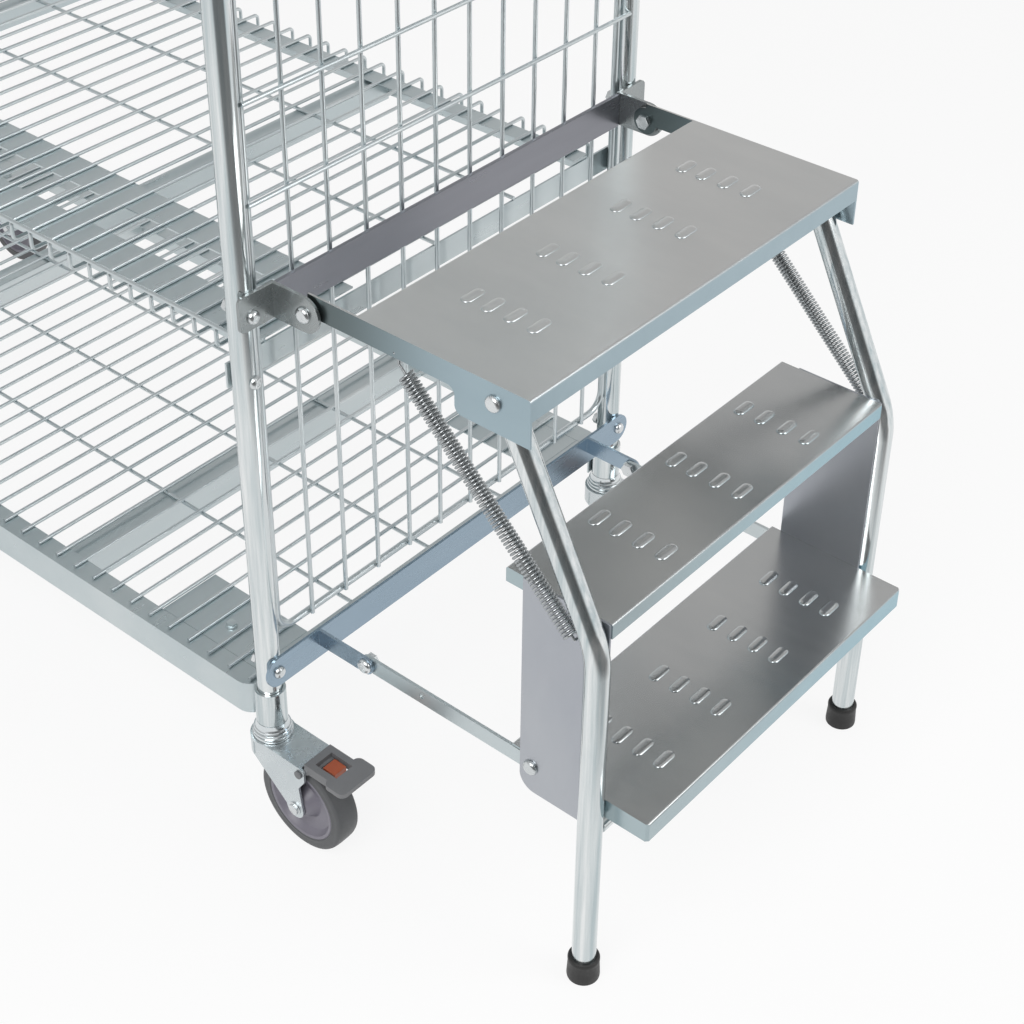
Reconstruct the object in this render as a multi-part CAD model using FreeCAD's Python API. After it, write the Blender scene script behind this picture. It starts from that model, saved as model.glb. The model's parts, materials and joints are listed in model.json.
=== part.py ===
import FreeCAD, Part
import math
import os

V = FreeCAD.Vector

# An order picking trolley with three wire shelves, four swivel castors and fold-up steps at one end.
# Lengths are in millimetres. X runs along the trolley towards the steps, Z is up, the floor is Z 0.
# The near side of the trolley is the one at negative Y. Reaches are measured from the steps end posts.

# Allowances
overrun = 5.0
hole_clearance = 0.1
fit_clearance = 0.05
running_gap = 0.3
loose_pivot_clearance = 0.4

# Posts and top bows
post_spacing_long = 1300.0
post_spacing_wide = 609.2
post_radius = 14.0
tube_wall = 2.0
post_top = 1400.0
bow_height = 90.0
bow_bend = 70.0

# End meshes between the posts
mesh_border_radius = 4.0
mesh_wire_radius = 2.5
mesh_bottom_gap = 18.0
mesh_top_margin = 20.0
mesh_corner_bend = 24.0
mesh_column_margin = 47.2
mesh_column_count = 10
mesh_first_row = 700.0
mesh_row_margin = 156.0
mesh_row_count = 6

# Bottom tray
tray_drop = 4.0
tray_height = 44.0
tray_beyond_post = 13.4
tray_rail_flange = 28.0
tray_rail_wall = 2.5
tray_corner_bend = 22.0
tray_end_inset = 12.0
tray_end_depth = 26.5
tray_end_height = 22.0
tray_channel_inset = 354.0
tray_channel_width = 36.0
tray_corner_plate_length = 156.0
tray_corner_plate_width = 83.0
tray_wire_radius = 2.5
tray_wire_first = 28.0
tray_wire_pitch = 33.6
tray_wire_end_margin = 8.0
tray_long_wire_pitch = 135.0
tray_long_wire_count = 3

# Corner sockets that hold the posts
socket_radius = 18.0
socket_rail_gap = 12.0

# Middle and upper shelves
middle_shelf_z = 634.0
upper_shelf_z = 1090.0
shelf_wire_radius = 2.25
shelf_wire_inset = 22.1
shelf_wire_first = 32.0
shelf_wire_pitch = 33.0
shelf_hook_drop = 24.0
shelf_hook_bend = 6.0
shelf_long_wire_y = -7.0
shelf_long_wire_pitch = 133.0
shelf_long_wire_count = 2
shelf_edge_rod_inset = 14.5
strip_inset = 42.6
near_strip_width = 129.0
far_strip_width = 25.0
strip_height = 25.0
strip_wall = 2.0
strip_slot_width = 24.0
strip_slot_length = 48.0
strip_slot_inset = 61.0
strip_slot_margin = 4.0
shelf_channel_first = 347.0
shelf_channel_second = 882.0
shelf_channel_width = 28.0
shelf_channel_height = 25.0
shelf_end_height = 29.0
shelf_end_wall = 2.5
shelf_end_flange = 24.0
shelf_end_beyond_post = 11.4
shelf_bolt_drop = 15.0

# Crossbar, platform brackets and lower end rail on the steps end posts
plate_beyond_post = 17.4
crossbar_drop = 21.5
crossbar_height = 40.0
crossbar_thickness = 5.0
bracket_thickness = 4.0
bracket_half_height = 20.0
bracket_corner = 7.0
bracket_bolt_drop = 6.5
ear_inset = 31.6
end_rail_drop = 28.5
end_rail_height = 39.0
end_rail_thickness = 3.5
end_rail_bolt_height = 20.0
link_ear_thickness = 4.0
link_ear_half_height = 11.0

# Pivots of the folding steps: two equal cranks a parallelogram apart
pivot_top_reach = 59.4
pivot_top_z = 696.5
crank_length = 234.6
pivot_low_reach = 88.3
pivot_low_height = 46.5

# Bolts
pivot_bolt_radius = 5.0
pivot_head_radius = 9.0
small_bolt_radius = 4.0
small_head_radius = 7.5
bolt_head_height = 5.0
bolt_head_round = 4.5
bolt_nut_height = 6.0
bolt_nut_sides = 6
washer_radius = 10.0
washer_thickness = 2.2

# Platform with its two side arms
platform_depth = 215.0
platform_nose = 42.8
platform_pivot_depth = 21.5
platform_sheet = 2.0
platform_front_flange = 24.0
platform_back_flange = 20.0
arm_thickness = 2.4
arm_height = 25.0
arm_end_radius = 16.0
gusset_length = 90.0
gusset_height = 53.0
gusset_bend = 9.0
platform_fold = 3.0

# Treads and side plates of the steps
tread_sheet = 2.0
tread_fold = 2.5
tread_middle_back_reach = 284.5
tread_middle_depth = 131.0
tread_middle_top = 483.0
tread_middle_flange = 18.0
tread_lower_back_reach = 294.8
tread_lower_depth = 175.8
tread_lower_flange = 24.0
tread_lower_side_gap = 18.0
tread_lower_relief = 14.9
tread_lower_chamfer = 3.0
tread_link_gap = 2.5
side_plate_thickness = 2.5
side_plate_back_margin = 15.0
side_plate_drop = 49.0
side_plate_corner = 20.0
side_plate_front_margin = 3.0

# Legs of the steps, their feet and the bar between them
leg_reach = 411.2
leg_radius = 13.2
leg_bend_drop = 27.0
leg_bend = 110.0
leg_end_overhang = 12.0
foot_height = 30.0
foot_sole = 6.0
foot_bottom_radius = 18.0
foot_top_radius = 16.5
step_bar_radius = 8.0
step_bar_drop = 41.0

# Links
link_thickness = 4.0
link_half_height = 10.0
link_hole_radius = 3.0
link_hole_inset = 79.5

# Springs
spring_hole_reach = 171.8
spring_hole_drop = 20.0
spring_hook_setback = 2.0
spring_hook_drop = 17.0
spring_low_inset = 22.4
spring_low_drop = 19.0
spring_inset = 8.5
spring_wire_radius = 1.1
spring_coil_radius = 7.65
spring_curls = 50
spring_top_lead = 16.0
spring_low_lead = 17.3
spring_blend_length = 12.0
spring_hook_bend = 4.0
spring_gap_samples_per_half_turn = 12

# Castors
wheel_radius = 62.5
wheel_trail = 54.0
wheel_crown_gap = 3.0
tyre_width = 32.0
tyre_thickness = 14.5
tyre_edge_round = 3.5
rim_width = 30.0
rim_wall = 7.0
hub_width = 40.0
hub_web_width = 10.0
hub_boss_radius = 15.0
hub_side_gap = 1.0
axle_radius = 5.0
axle_head_radius = 9.0
axle_head_height = 4.0
castor_head_radius = 23.5
castor_head_height = 6.0
castor_ring_radius = 21.5
castor_ring_height = 8.0
castor_neck_inset = 1.0
castor_neck_height = 6.0
castor_stem_height = 60.0
kingpin_radius = 6.0
kingpin_height = 13.0
fork_plate = 3.7
fork_leg = 3.0
fork_crown_margin = 2.0
fork_crown_lead = 2.0
fork_back_drop = 20.0
fork_foot_radius = 13.0
fork_waist_lead = 8.0
fork_waist_height = 36.0
fork_lobe_radius = 8.0

# Brake pedals and their release levers on the steps end castors
pedal_pivot_reach = 64.0
pedal_pivot_drop = 10.0
pedal_stub_radius = 3.0
pedal_rivet_radius = 5.0
pedal_rivet_height = 2.0
pedal_lug_radius = 5.5
pedal_cheek = 3.0
pedal_back_reach = 70.0
pedal_length = 66.0
pedal_lobe_length = 30.0
pedal_lobe_half = 28.0
pedal_clearance = 1.0
pedal_thickness = 6.0
pedal_skirt_width = 7.0
pedal_skirt_drop = 6.0
pedal_window_inset = 10.0
pedal_window_length = 32.0
pedal_window_half = 12.5
pedal_corner = 8.0
shoe_inset = 6.0
shoe_length = 8.0
shoe_height = 7.0
shoe_half_width = 12.0
lever_inset = 8.0
lever_drop = 3.0
lever_barrel_radius = 2.5
lever_stub_radius = 2.0
lever_stub_depth = 2.5
lever_end_gap = 6.0
lever_half_width = 9.0
lever_height = 7.0

# Places along the trolley
fork_inner_half = hub_width / 2 + hub_side_gap
fork_outer_half = fork_inner_half + fork_leg
fork_crown_radius = fork_outer_half + fork_crown_margin
rear_overhang = max(socket_radius, fork_crown_radius, castor_head_radius)
step_reach = max(tread_lower_back_reach + tread_lower_depth, leg_reach + foot_bottom_radius)
steps_x = (post_spacing_long + rear_overhang - step_reach) / 2
rear_x = steps_x - post_spacing_long
leg_x = steps_x + leg_reach

# Heights, from the wheels up to the lower end rail
rim_radius = wheel_radius - tyre_thickness
rim_inner_radius = rim_radius - rim_wall
castor_head_bottom = wheel_radius * 2 + wheel_crown_gap + fork_plate + running_gap
castor_ring_bottom = castor_head_bottom + castor_head_height
castor_neck_bottom = castor_ring_bottom + castor_ring_height
castor_neck_radius = socket_radius - castor_neck_inset
post_bottom = castor_neck_bottom + castor_neck_height
tray_bottom = post_bottom - tray_drop
tray_top = tray_bottom + tray_height
pivot_low_z = tray_top + pivot_low_height
end_rail_bottom = pivot_low_z - end_rail_drop
end_rail_top = end_rail_bottom + end_rail_height
end_rail_bolt_z = end_rail_bottom + end_rail_bolt_height
socket_top = end_rail_bottom - socket_rail_gap
mesh_bottom = end_rail_top + mesh_bottom_gap
mesh_top = post_top - mesh_top_margin
crossbar_bottom = pivot_top_z - crossbar_drop

# Places across the trolley, from the posts inwards
half_wide = post_spacing_wide / 2
post_plate_outer = half_wide + plate_beyond_post
tray_half_width = half_wide + tray_beyond_post
shelf_end_half_width = half_wide + shelf_end_beyond_post
shelf_wire_half = half_wide - shelf_wire_inset
shelf_bend_y = shelf_wire_half - shelf_hook_bend
strip_outer = half_wide - strip_inset
strip_near_inner = strip_outer - near_strip_width
strip_far_inner = strip_outer - far_strip_width
strip_slot_y = strip_outer - strip_slot_inset
ear_inner = half_wide - ear_inset
ear_outer = ear_inner + bracket_thickness
platform_half_width = ear_inner - washer_thickness - running_gap
arm_inner = platform_half_width - arm_thickness
leg_centre_y = arm_inner - running_gap - leg_radius
plate_outer = leg_centre_y - leg_radius
plate_inner = plate_outer - side_plate_thickness
tread_lower_back_half = plate_inner - tread_lower_relief
link_ear_inner = plate_inner - running_gap
link_ear_outer = link_ear_inner + link_ear_thickness
link_outer = link_ear_inner - running_gap
link_inner = link_outer - link_thickness
spring_y = platform_half_width - spring_inset

# Pivots and heights of the steps
pivot_a = V(steps_x + pivot_top_reach, 0, pivot_top_z)
pivot_b = pivot_a + V(crank_length, 0, 0)
pivot_c = V(steps_x + pivot_low_reach, 0, pivot_low_z)
pivot_d = pivot_c + V(crank_length, 0, 0)
platform_top = pivot_top_z + platform_pivot_depth
platform_front = pivot_b.x + platform_nose
platform_back = platform_front - platform_depth
tread_lower_top = pivot_low_z + link_half_height + tread_link_gap + tread_sheet
side_plate_bottom = tread_lower_top - side_plate_drop
step_bar_z = tread_lower_top - step_bar_drop
leg_bend_z = tread_middle_top - leg_bend_drop
spring_hole = V(steps_x + spring_hole_reach, 0, platform_top - spring_hole_drop)
spring_top = spring_hole - V(spring_hook_setback, 0, spring_hook_drop)
spring_low = V(leg_x - spring_low_inset, 0, tread_middle_top - spring_low_drop)
spring_coil_length = (spring_low - spring_top).Length - spring_top_lead - spring_low_lead
spring_pitch = spring_coil_length / spring_curls

# Places on the brake pedals
pedal_half = fork_inner_half - running_gap
pedal_rivet_start = fork_outer_half + running_gap
pedal_rivet_end = pedal_rivet_start + pedal_rivet_height
pedal_pivot_z = castor_head_bottom - pedal_pivot_drop
pedal_bottom = castor_head_bottom + pedal_clearance
pedal_front_reach = pedal_back_reach + pedal_length
pedal_window_back_reach = pedal_back_reach + pedal_window_inset
pedal_window_front_reach = pedal_window_back_reach + pedal_window_length
shoe_back_reach = pedal_back_reach + shoe_inset
lever_reach = pedal_window_back_reach + lever_inset
lever_length = pedal_window_front_reach - lever_reach - lever_end_gap
lever_z = pedal_bottom - lever_drop
lever_top = lever_z + lever_height

# Directions
long_x = V(1, 0, 0)
wide_y = V(0, 1, 0)
up_z = V(0, 0, 1)


# Building blocks

def save(name, solids):
    shape = solids[0] if len(solids) == 1 else Part.makeCompound(solids)
    shape.exportStep("parts/" + name + ".step")


def box(x_low, x_high, y_low, y_high, z_low, z_high):
    corner = V(x_low, y_low, z_low)
    return Part.makeBox(x_high - x_low, y_high - y_low, z_high - z_low, corner)


def rod(start, end, radius):
    along = end - start
    return Part.makeCylinder(radius, along.Length, start, along)


def tube(start, end, radius, wall):
    bore_start = start - (end - start).normalize() * overrun
    bore_end = end + (end - start).normalize() * overrun
    return rod(start, end, radius).cut(rod(bore_start, bore_end, radius - wall))


def across(point, y_start, y_end, radius):
    return rod(V(point.x, y_start, point.z), V(point.x, y_end, point.z), radius)


def mirrored(shape):
    return shape.mirror(V(0, 0, 0), wide_y)


def on_both_sides(shape):
    return [shape, mirrored(shape)]


def joined(first, *others):
    return first.fuse(list(others)).removeSplitter().Solids[0]


def edges_at(shape, x, z):
    # The edges that run across the trolley at the given place
    place = V(x, 0, z)
    return [edge for edge in shape.Edges
            if (V(edge.CenterOfMass.x, 0, edge.CenterOfMass.z) - place).Length < fit_clearance]


def outline_plate(points, y_start, y_end):
    corners = [V(x, y_start, z) for x, z in points]
    face = Part.Face(Part.makePolygon(corners + corners[:1]))
    return face.extrude(V(0, y_end - y_start, 0))


def bent_path(points, bend):
    edges = []
    start = points[0]
    for before, corner, after in zip(points, points[1:], points[2:]):
        heading = (corner - before).normalize()
        leaving = (after - corner).normalize()
        half_turn = heading.getAngle(leaving) / 2
        setback = bend * math.tan(half_turn)
        arc_start = corner - heading * setback
        arc_end = corner + leaving * setback
        inward = (leaving - heading).normalize()
        arc_middle = corner + inward * (bend / math.cos(half_turn) - bend)
        edges.append(Part.LineSegment(start, arc_start).toShape())
        edges.append(Part.Arc(arc_start, arc_middle, arc_end).toShape())
        start = arc_end
    edges.append(Part.LineSegment(start, points[-1]).toShape())
    return edges


def swept(edges, start, heading, radius):
    ring = Part.Wire([Part.makeCircle(radius, start, heading)])
    return Part.Wire(edges).makePipeShell([ring], True, False)


def bent_rod(points, bend, radius):
    return swept(bent_path(points, bend), points[0], points[1] - points[0], radius)


def bent_tube(points, bend, radius, wall):
    return bent_rod(points, bend, radius).cut(bent_rod(points, bend, radius - wall))


def hexagon(seat, heading, radius, height):
    helper = up_z if abs(heading.z) < abs(heading.x) + abs(heading.y) else long_x
    side = heading.cross(helper).normalize()
    other = heading.cross(side).normalize()
    turns = [math.tau * step / bolt_nut_sides for step in range(bolt_nut_sides)]
    corners = [seat + side * (radius * math.cos(t)) + other * (radius * math.sin(t)) for t in turns]
    face = Part.Face(Part.makePolygon(corners + corners[:1]))
    return face.extrude(heading * height)


def button_head(seat, heading, radius):
    crown = seat - heading * bolt_head_height
    disc = rod(seat, crown, radius)
    rim = [edge for edge in disc.Edges if (edge.CenterOfMass - crown).Length < fit_clearance]
    return disc.makeFillet(bolt_head_round, rim)


def bolt(seat, heading, grip, radius, head_radius):
    head = button_head(seat, heading, head_radius)
    nut = hexagon(seat + heading * grip, heading, head_radius, bolt_nut_height)
    shank = rod(seat, seat + heading * grip, radius)
    return joined(head, shank, nut)


def side_bolt(pivot, outer_y, inner_y):
    # On the near side the head is outside, at the more negative Y
    seat = V(pivot.x, -outer_y, pivot.z)
    return bolt(seat, wide_y, outer_y - inner_y, pivot_bolt_radius, pivot_head_radius)


# Posts, top bows and end meshes

def post_places():
    return [
        ("steps_near", steps_x, -half_wide),
        ("steps_far", steps_x, half_wide),
        ("rear_near", rear_x, -half_wide),
        ("rear_far", rear_x, half_wide),
    ]


def shelf_bolt_z(shelf_z):
    return shelf_z - shelf_bolt_drop - shelf_wire_radius * 3


def post_bolt_heights(end):
    heights = [shelf_bolt_z(middle_shelf_z), shelf_bolt_z(upper_shelf_z)]
    if end == "steps":
        heights += [end_rail_bolt_z, pivot_top_z - bracket_bolt_drop]
    return heights


def post(name, x, y):
    shape = tube(V(x, y, post_bottom), V(x, y, post_top), post_radius, tube_wall)
    reach = post_radius + overrun
    for z in post_bolt_heights(name.split("_")[0]):
        shape = shape.cut(rod(V(x - reach, y, z), V(x + reach, y, z), small_bolt_radius))
    return shape


def top_bow(x):
    crown = post_top + bow_height
    corners = [(-half_wide, post_top), (-half_wide, crown), (half_wide, crown), (half_wide, post_top)]
    return bent_tube([V(x, y, z) for y, z in corners], bow_bend, post_radius, tube_wall)


def end_mesh(x, outward):
    border_y = half_wide - post_radius - mesh_border_radius
    corners = [(-border_y, mesh_top), (-border_y, mesh_bottom), (border_y, mesh_bottom), (border_y, mesh_top)]
    border = bent_rod([V(x, y, z) for y, z in corners], mesh_corner_bend, mesh_border_radius)
    top_z = mesh_top + mesh_border_radius
    top_half = border_y + mesh_border_radius
    solids = [border, rod(V(x, -top_half, top_z), V(x, top_half, top_z), mesh_border_radius)]
    column_x = x + outward * (mesh_border_radius + mesh_wire_radius)
    half_row = border_y - mesh_column_margin
    column_pitch = half_row * 2 / (mesh_column_count - 1)
    for column in range(mesh_column_count):
        y = column * column_pitch - half_row
        solids.append(rod(V(column_x, y, mesh_bottom), V(column_x, y, top_z), mesh_wire_radius))
    row_x = column_x + outward * mesh_wire_radius * 2
    row_end = border_y + mesh_border_radius * 2
    row_pitch = (mesh_top - mesh_row_margin - mesh_first_row) / (mesh_row_count - 1)
    for row in range(mesh_row_count):
        z = mesh_first_row + row * row_pitch
        solids.append(rod(V(row_x, -row_end, z), V(row_x, row_end, z), mesh_wire_radius))
    return solids


# Bottom tray

def round_ended_block(x_low, x_high, y_low, y_high, z_low, z_high, bend):
    # A block whose two upright corners on the far side are rounded
    block = box(x_low, x_high, y_low, y_high, z_low, z_high)
    uprights = [edge for edge in block.Edges if edge.BoundBox.ZLength > (z_high - z_low) / 2]
    corners = [edge for edge in uprights if edge.CenterOfMass.y > (y_low + y_high) / 2]
    return block.makeFillet(bend, corners)


def bottom_side_rail():
    # Built for the far side: an angle with its ledge on top, folded round at both ends beside the sockets
    y_low = tray_half_width - tray_rail_flange
    y_high = tray_half_width
    wall = tray_rail_wall
    bend = tray_corner_bend
    offset = half_wide - (y_high - bend)
    end_gap = math.sqrt((bend + socket_radius + running_gap) ** 2 - offset ** 2) - bend
    x_low = rear_x + end_gap
    x_high = steps_x - end_gap
    outside = round_ended_block(x_low, x_high, y_low, y_high, tray_bottom, tray_top, bend)
    inside = round_ended_block(x_low + wall, x_high - wall, y_low - overrun, y_high - wall,
                               tray_bottom - overrun, tray_top - wall, bend - wall)
    return outside.cut(inside)


def bottom_end_rail(x, outward):
    # An angle with its ledge on top and its web on the inside, where the long wires end
    half = tray_half_width - tray_rail_flange
    outer = x - outward * tray_end_inset
    inner = outer - outward * tray_end_depth
    web_outer = inner + outward * tray_rail_wall
    web = box(min(inner, web_outer), max(inner, web_outer), -half, half, tray_top - tray_end_height, tray_top)
    ledge = box(min(inner, outer), max(inner, outer), -half, half, tray_top - tray_rail_wall, tray_top)
    return joined(web, ledge)


def inverted_channel(centre_x, width, half_length, z_low, z_high, wall):
    x_low = centre_x - width / 2
    x_high = centre_x + width / 2
    outside = box(x_low, x_high, -half_length, half_length, z_low, z_high)
    reach = half_length + overrun
    inside = box(x_low + wall, x_high - wall, -reach, reach, z_low - overrun, z_high - wall)
    return outside.cut(inside)


def tray_corner_plate(x, outward):
    # Built for the far side
    outer_y = tray_half_width - tray_rail_flange
    start = x - outward * (tray_end_inset + tray_end_depth)
    end = start - outward * tray_corner_plate_length
    inner_y = outer_y - tray_corner_plate_width
    return box(min(start, end), max(start, end), inner_y, outer_y, tray_top - tray_rail_wall, tray_top)


def bottom_cross_members():
    half = tray_half_width - tray_rail_wall
    top = tray_top - tray_wire_radius * 2
    solids = []
    for x, outward in ((steps_x, 1), (rear_x, -1)):
        centre = x - outward * tray_channel_inset
        solids.append(inverted_channel(centre, tray_channel_width, half, tray_bottom, top, tray_rail_wall))
        solids += on_both_sides(tray_corner_plate(x, outward))
    return solids


def wire_places(first, pitch):
    count = int((post_spacing_long - first * 2) / pitch) + 1
    return [steps_x - first - pitch * step for step in range(count)]


def bottom_wires():
    z = tray_top + tray_wire_radius
    half = tray_half_width - tray_wire_end_margin
    solids = []
    for x in wire_places(tray_wire_first, tray_wire_pitch):
        solids.append(rod(V(x, -half, z), V(x, half, z), tray_wire_radius))
    inset = tray_end_inset + tray_end_depth
    low_z = tray_top - tray_wire_radius
    for step in range(tray_long_wire_count):
        y = tray_long_wire_pitch * (step - (tray_long_wire_count - 1) / 2)
        solids.append(rod(V(rear_x + inset, y, low_z), V(steps_x - inset, y, low_z), tray_wire_radius))
    return solids


def corner_socket(x, y):
    wall = socket_radius - post_radius - fit_clearance
    return tube(V(x, y, post_bottom), V(x, y, socket_top), socket_radius, wall)


# Middle and upper shelves

def shelf_levels(shelf_z):
    strip_top = shelf_z - shelf_wire_radius
    frame_top = shelf_z - shelf_wire_radius * 3
    return strip_top, frame_top


def shelf_channel_places():
    return [steps_x - shelf_channel_first, steps_x - shelf_channel_second]


def shelf_strip(shelf_z, inner_y, lip_y):
    # Built for the far side: a top sheet out to its lip, with a wall under it that the hooks meet
    strip_top = shelf_levels(shelf_z)[0]
    inset = post_radius + shelf_end_wall
    x_low = rear_x + inset
    x_high = steps_x - inset
    fold = strip_outer - strip_wall
    sheet = box(x_low, x_high, inner_y, lip_y, strip_top - strip_wall, strip_top)
    flange = box(x_low, x_high, fold, strip_outer, strip_top - strip_height, strip_top)
    return joined(sheet, flange)


def slotted_strip(shelf_z):
    strip = shelf_strip(shelf_z, strip_near_inner, shelf_bend_y - running_gap)
    strip_top = shelf_levels(shelf_z)[0]
    places = wire_places(shelf_wire_first, shelf_wire_pitch)
    keep_clear = (shelf_channel_width + strip_slot_width) / 2 + strip_slot_margin
    y_low = strip_slot_y - strip_slot_length / 2
    y_high = y_low + strip_slot_length
    z_low = strip_top - strip_wall - overrun
    cutters = []
    for x, next_x in zip(places[1:-2], places[2:-1]):
        middle = (x + next_x) / 2
        if min(abs(middle - channel) for channel in shelf_channel_places()) < keep_clear:
            continue
        x_low = middle - strip_slot_width / 2
        x_high = middle + strip_slot_width / 2
        cutters.append(box(x_low, x_high, y_low, y_high, z_low, strip_top + overrun))
    return mirrored(strip.cut(Part.makeCompound(cutters)))


def shelf_channels(shelf_z):
    frame_top = shelf_levels(shelf_z)[1]
    half = strip_outer - strip_wall
    bottom = frame_top - shelf_channel_height
    solids = []
    for x in shelf_channel_places():
        solids.append(inverted_channel(x, shelf_channel_width, half, bottom, frame_top, strip_wall))
    return solids


def shelf_end_rail(shelf_z, x, outward):
    frame_top = shelf_levels(shelf_z)[1]
    web_outer = x - outward * post_radius
    web_inner = web_outer - outward * shelf_end_wall
    tip = web_inner - outward * shelf_end_flange
    web_low = min(web_outer, web_inner)
    web_high = max(web_outer, web_inner)
    half = shelf_end_half_width
    flange_low = min(web_inner, tip)
    flange_high = max(web_inner, tip)
    web_bottom = frame_top - shelf_end_height
    flange_top = web_bottom + shelf_end_wall
    web = box(web_low, web_high, -half, half, web_bottom, frame_top)
    flange = box(flange_low, flange_high, -strip_outer, strip_outer, web_bottom, flange_top)
    rail = joined(web, flange)
    for y in (-half_wide, half_wide):
        start = V(web_low - overrun, y, shelf_bolt_z(shelf_z))
        end = V(web_high + overrun, y, shelf_bolt_z(shelf_z))
        rail = rail.cut(rod(start, end, small_bolt_radius))
    return rail


def shelf_end_rails(shelf_z):
    return [shelf_end_rail(shelf_z, steps_x, 1), shelf_end_rail(shelf_z, rear_x, -1)]


def shelf_wires(shelf_z):
    low_z = shelf_z - shelf_hook_drop
    half = [(strip_outer, low_z), (shelf_wire_half, low_z), (shelf_wire_half, shelf_z)]
    profile = [(-y, z) for y, z in half] + half[::-1]
    solids = []
    for x in wire_places(shelf_wire_first, shelf_wire_pitch):
        points = [V(x, y, z) for y, z in profile]
        solids.append(bent_rod(points, shelf_hook_bend, shelf_wire_radius))
    start = rear_x + shelf_edge_rod_inset
    end = steps_x - shelf_edge_rod_inset
    long_z = shelf_z - shelf_wire_radius * 2
    for step in range(shelf_long_wire_count):
        y = shelf_long_wire_y + shelf_long_wire_pitch * step
        solids.append(rod(V(start, y, long_z), V(end, y, long_z), shelf_wire_radius))
    # The edge rod on the near side lies outside the bends of the hooks
    offset = (shelf_hook_bend + shelf_wire_radius * 2) * math.sqrt(0.5)
    rod_y = -shelf_bend_y - offset
    rod_z = shelf_z - shelf_hook_bend + offset
    solids.append(rod(V(start, rod_y, rod_z), V(end, rod_y, rod_z), shelf_wire_radius))
    return solids


def upper_shelf_frame():
    solids = on_both_sides(shelf_strip(upper_shelf_z, strip_far_inner, strip_outer))
    return solids + shelf_channels(upper_shelf_z) + shelf_end_rails(upper_shelf_z)


# Pieces on the steps end posts

def crossbar():
    back = steps_x + post_radius
    top = crossbar_bottom + crossbar_height
    return box(back, back + crossbar_thickness, -ear_inner, ear_inner, crossbar_bottom, top)


def platform_bracket():
    # Built for the far side: a plate on the post with an ear folded forwards
    back = steps_x + post_radius
    z_low = pivot_top_z - bracket_half_height
    z_high = pivot_top_z + bracket_half_height
    plate = box(back, back + bracket_thickness, ear_inner, post_plate_outer, z_low, z_high)
    outer_edges = [edge for edge in plate.Edges if edge.CenterOfMass.y > post_plate_outer - fit_clearance]
    corners = [edge for edge in outer_edges if edge.BoundBox.XLength > bracket_thickness / 2]
    plate = plate.makeFillet(bracket_corner, corners)
    ear = box(back, pivot_a.x, ear_inner, ear_outer, z_low, z_high)
    tip = across(pivot_a, ear_inner, ear_outer, bracket_half_height)
    pivot_hole = across(pivot_a, ear_inner - overrun, ear_outer + overrun, pivot_bolt_radius)
    z = pivot_top_z - bracket_bolt_drop
    front = back + bracket_thickness + overrun
    post_hole = rod(V(back - overrun, half_wide, z), V(front, half_wide, z), small_bolt_radius)
    return joined(plate, ear, tip).cut(pivot_hole).cut(post_hole)


def lower_end_rail():
    back = steps_x + post_radius
    front = back + end_rail_thickness
    top = end_rail_top
    end_radius = end_rail_height / 2
    end_y = post_plate_outer - end_radius
    end_z = end_rail_bottom + end_radius
    web = box(back, front, -end_y, end_y, end_rail_bottom, top)
    round_end = rod(V(back, end_y, end_z), V(front, end_y, end_z), end_radius)
    pieces = on_both_sides(round_end)
    z_low = pivot_c.z - link_ear_half_height
    z_high = pivot_c.z + link_ear_half_height
    ear = box(front, pivot_c.x, link_ear_inner, link_ear_outer, z_low, z_high)
    tip = across(pivot_c, link_ear_inner, link_ear_outer, link_ear_half_height)
    pieces += on_both_sides(joined(ear, tip))
    rail = joined(web, *pieces)
    hole = across(pivot_c, link_ear_inner - overrun, link_ear_outer + overrun, pivot_bolt_radius)
    hole_start = V(back - overrun, half_wide, end_rail_bolt_z)
    hole_end = V(front + overrun, half_wide, end_rail_bolt_z)
    post_hole = rod(hole_start, hole_end, small_bolt_radius)
    for cutter in on_both_sides(hole) + on_both_sides(post_hole):
        rail = rail.cut(cutter)
    return rail


def post_bolt(x, z, outward, front_grip, back_grip):
    seat = V(x + outward * (post_radius + front_grip), -half_wide, z)
    grip = front_grip + post_radius * 2 + back_grip
    return bolt(seat, long_x * -outward, grip, small_bolt_radius, small_head_radius)


def frame_bolts():
    near = [
        post_bolt(steps_x, pivot_top_z - bracket_bolt_drop, 1, bracket_thickness, 0),
        post_bolt(steps_x, end_rail_bolt_z, 1, end_rail_thickness, 0),
    ]
    for x, outward in ((steps_x, 1), (rear_x, -1)):
        for shelf_z in (middle_shelf_z, upper_shelf_z):
            near.append(post_bolt(x, shelf_bolt_z(shelf_z), outward, 0, shelf_end_wall))
    near.append(side_bolt(pivot_a, ear_outer, arm_inner - running_gap))
    near.append(side_bolt(pivot_c, link_ear_outer, link_inner - running_gap))
    washer = across(pivot_a, -ear_inner, -platform_half_width - running_gap, washer_radius)
    near.append(washer.cut(across(pivot_a, -ear_outer, -arm_inner, pivot_bolt_radius)))
    solids = []
    for piece in near:
        solids += on_both_sides(piece)
    return solids


# Platform and folding step frame

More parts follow.
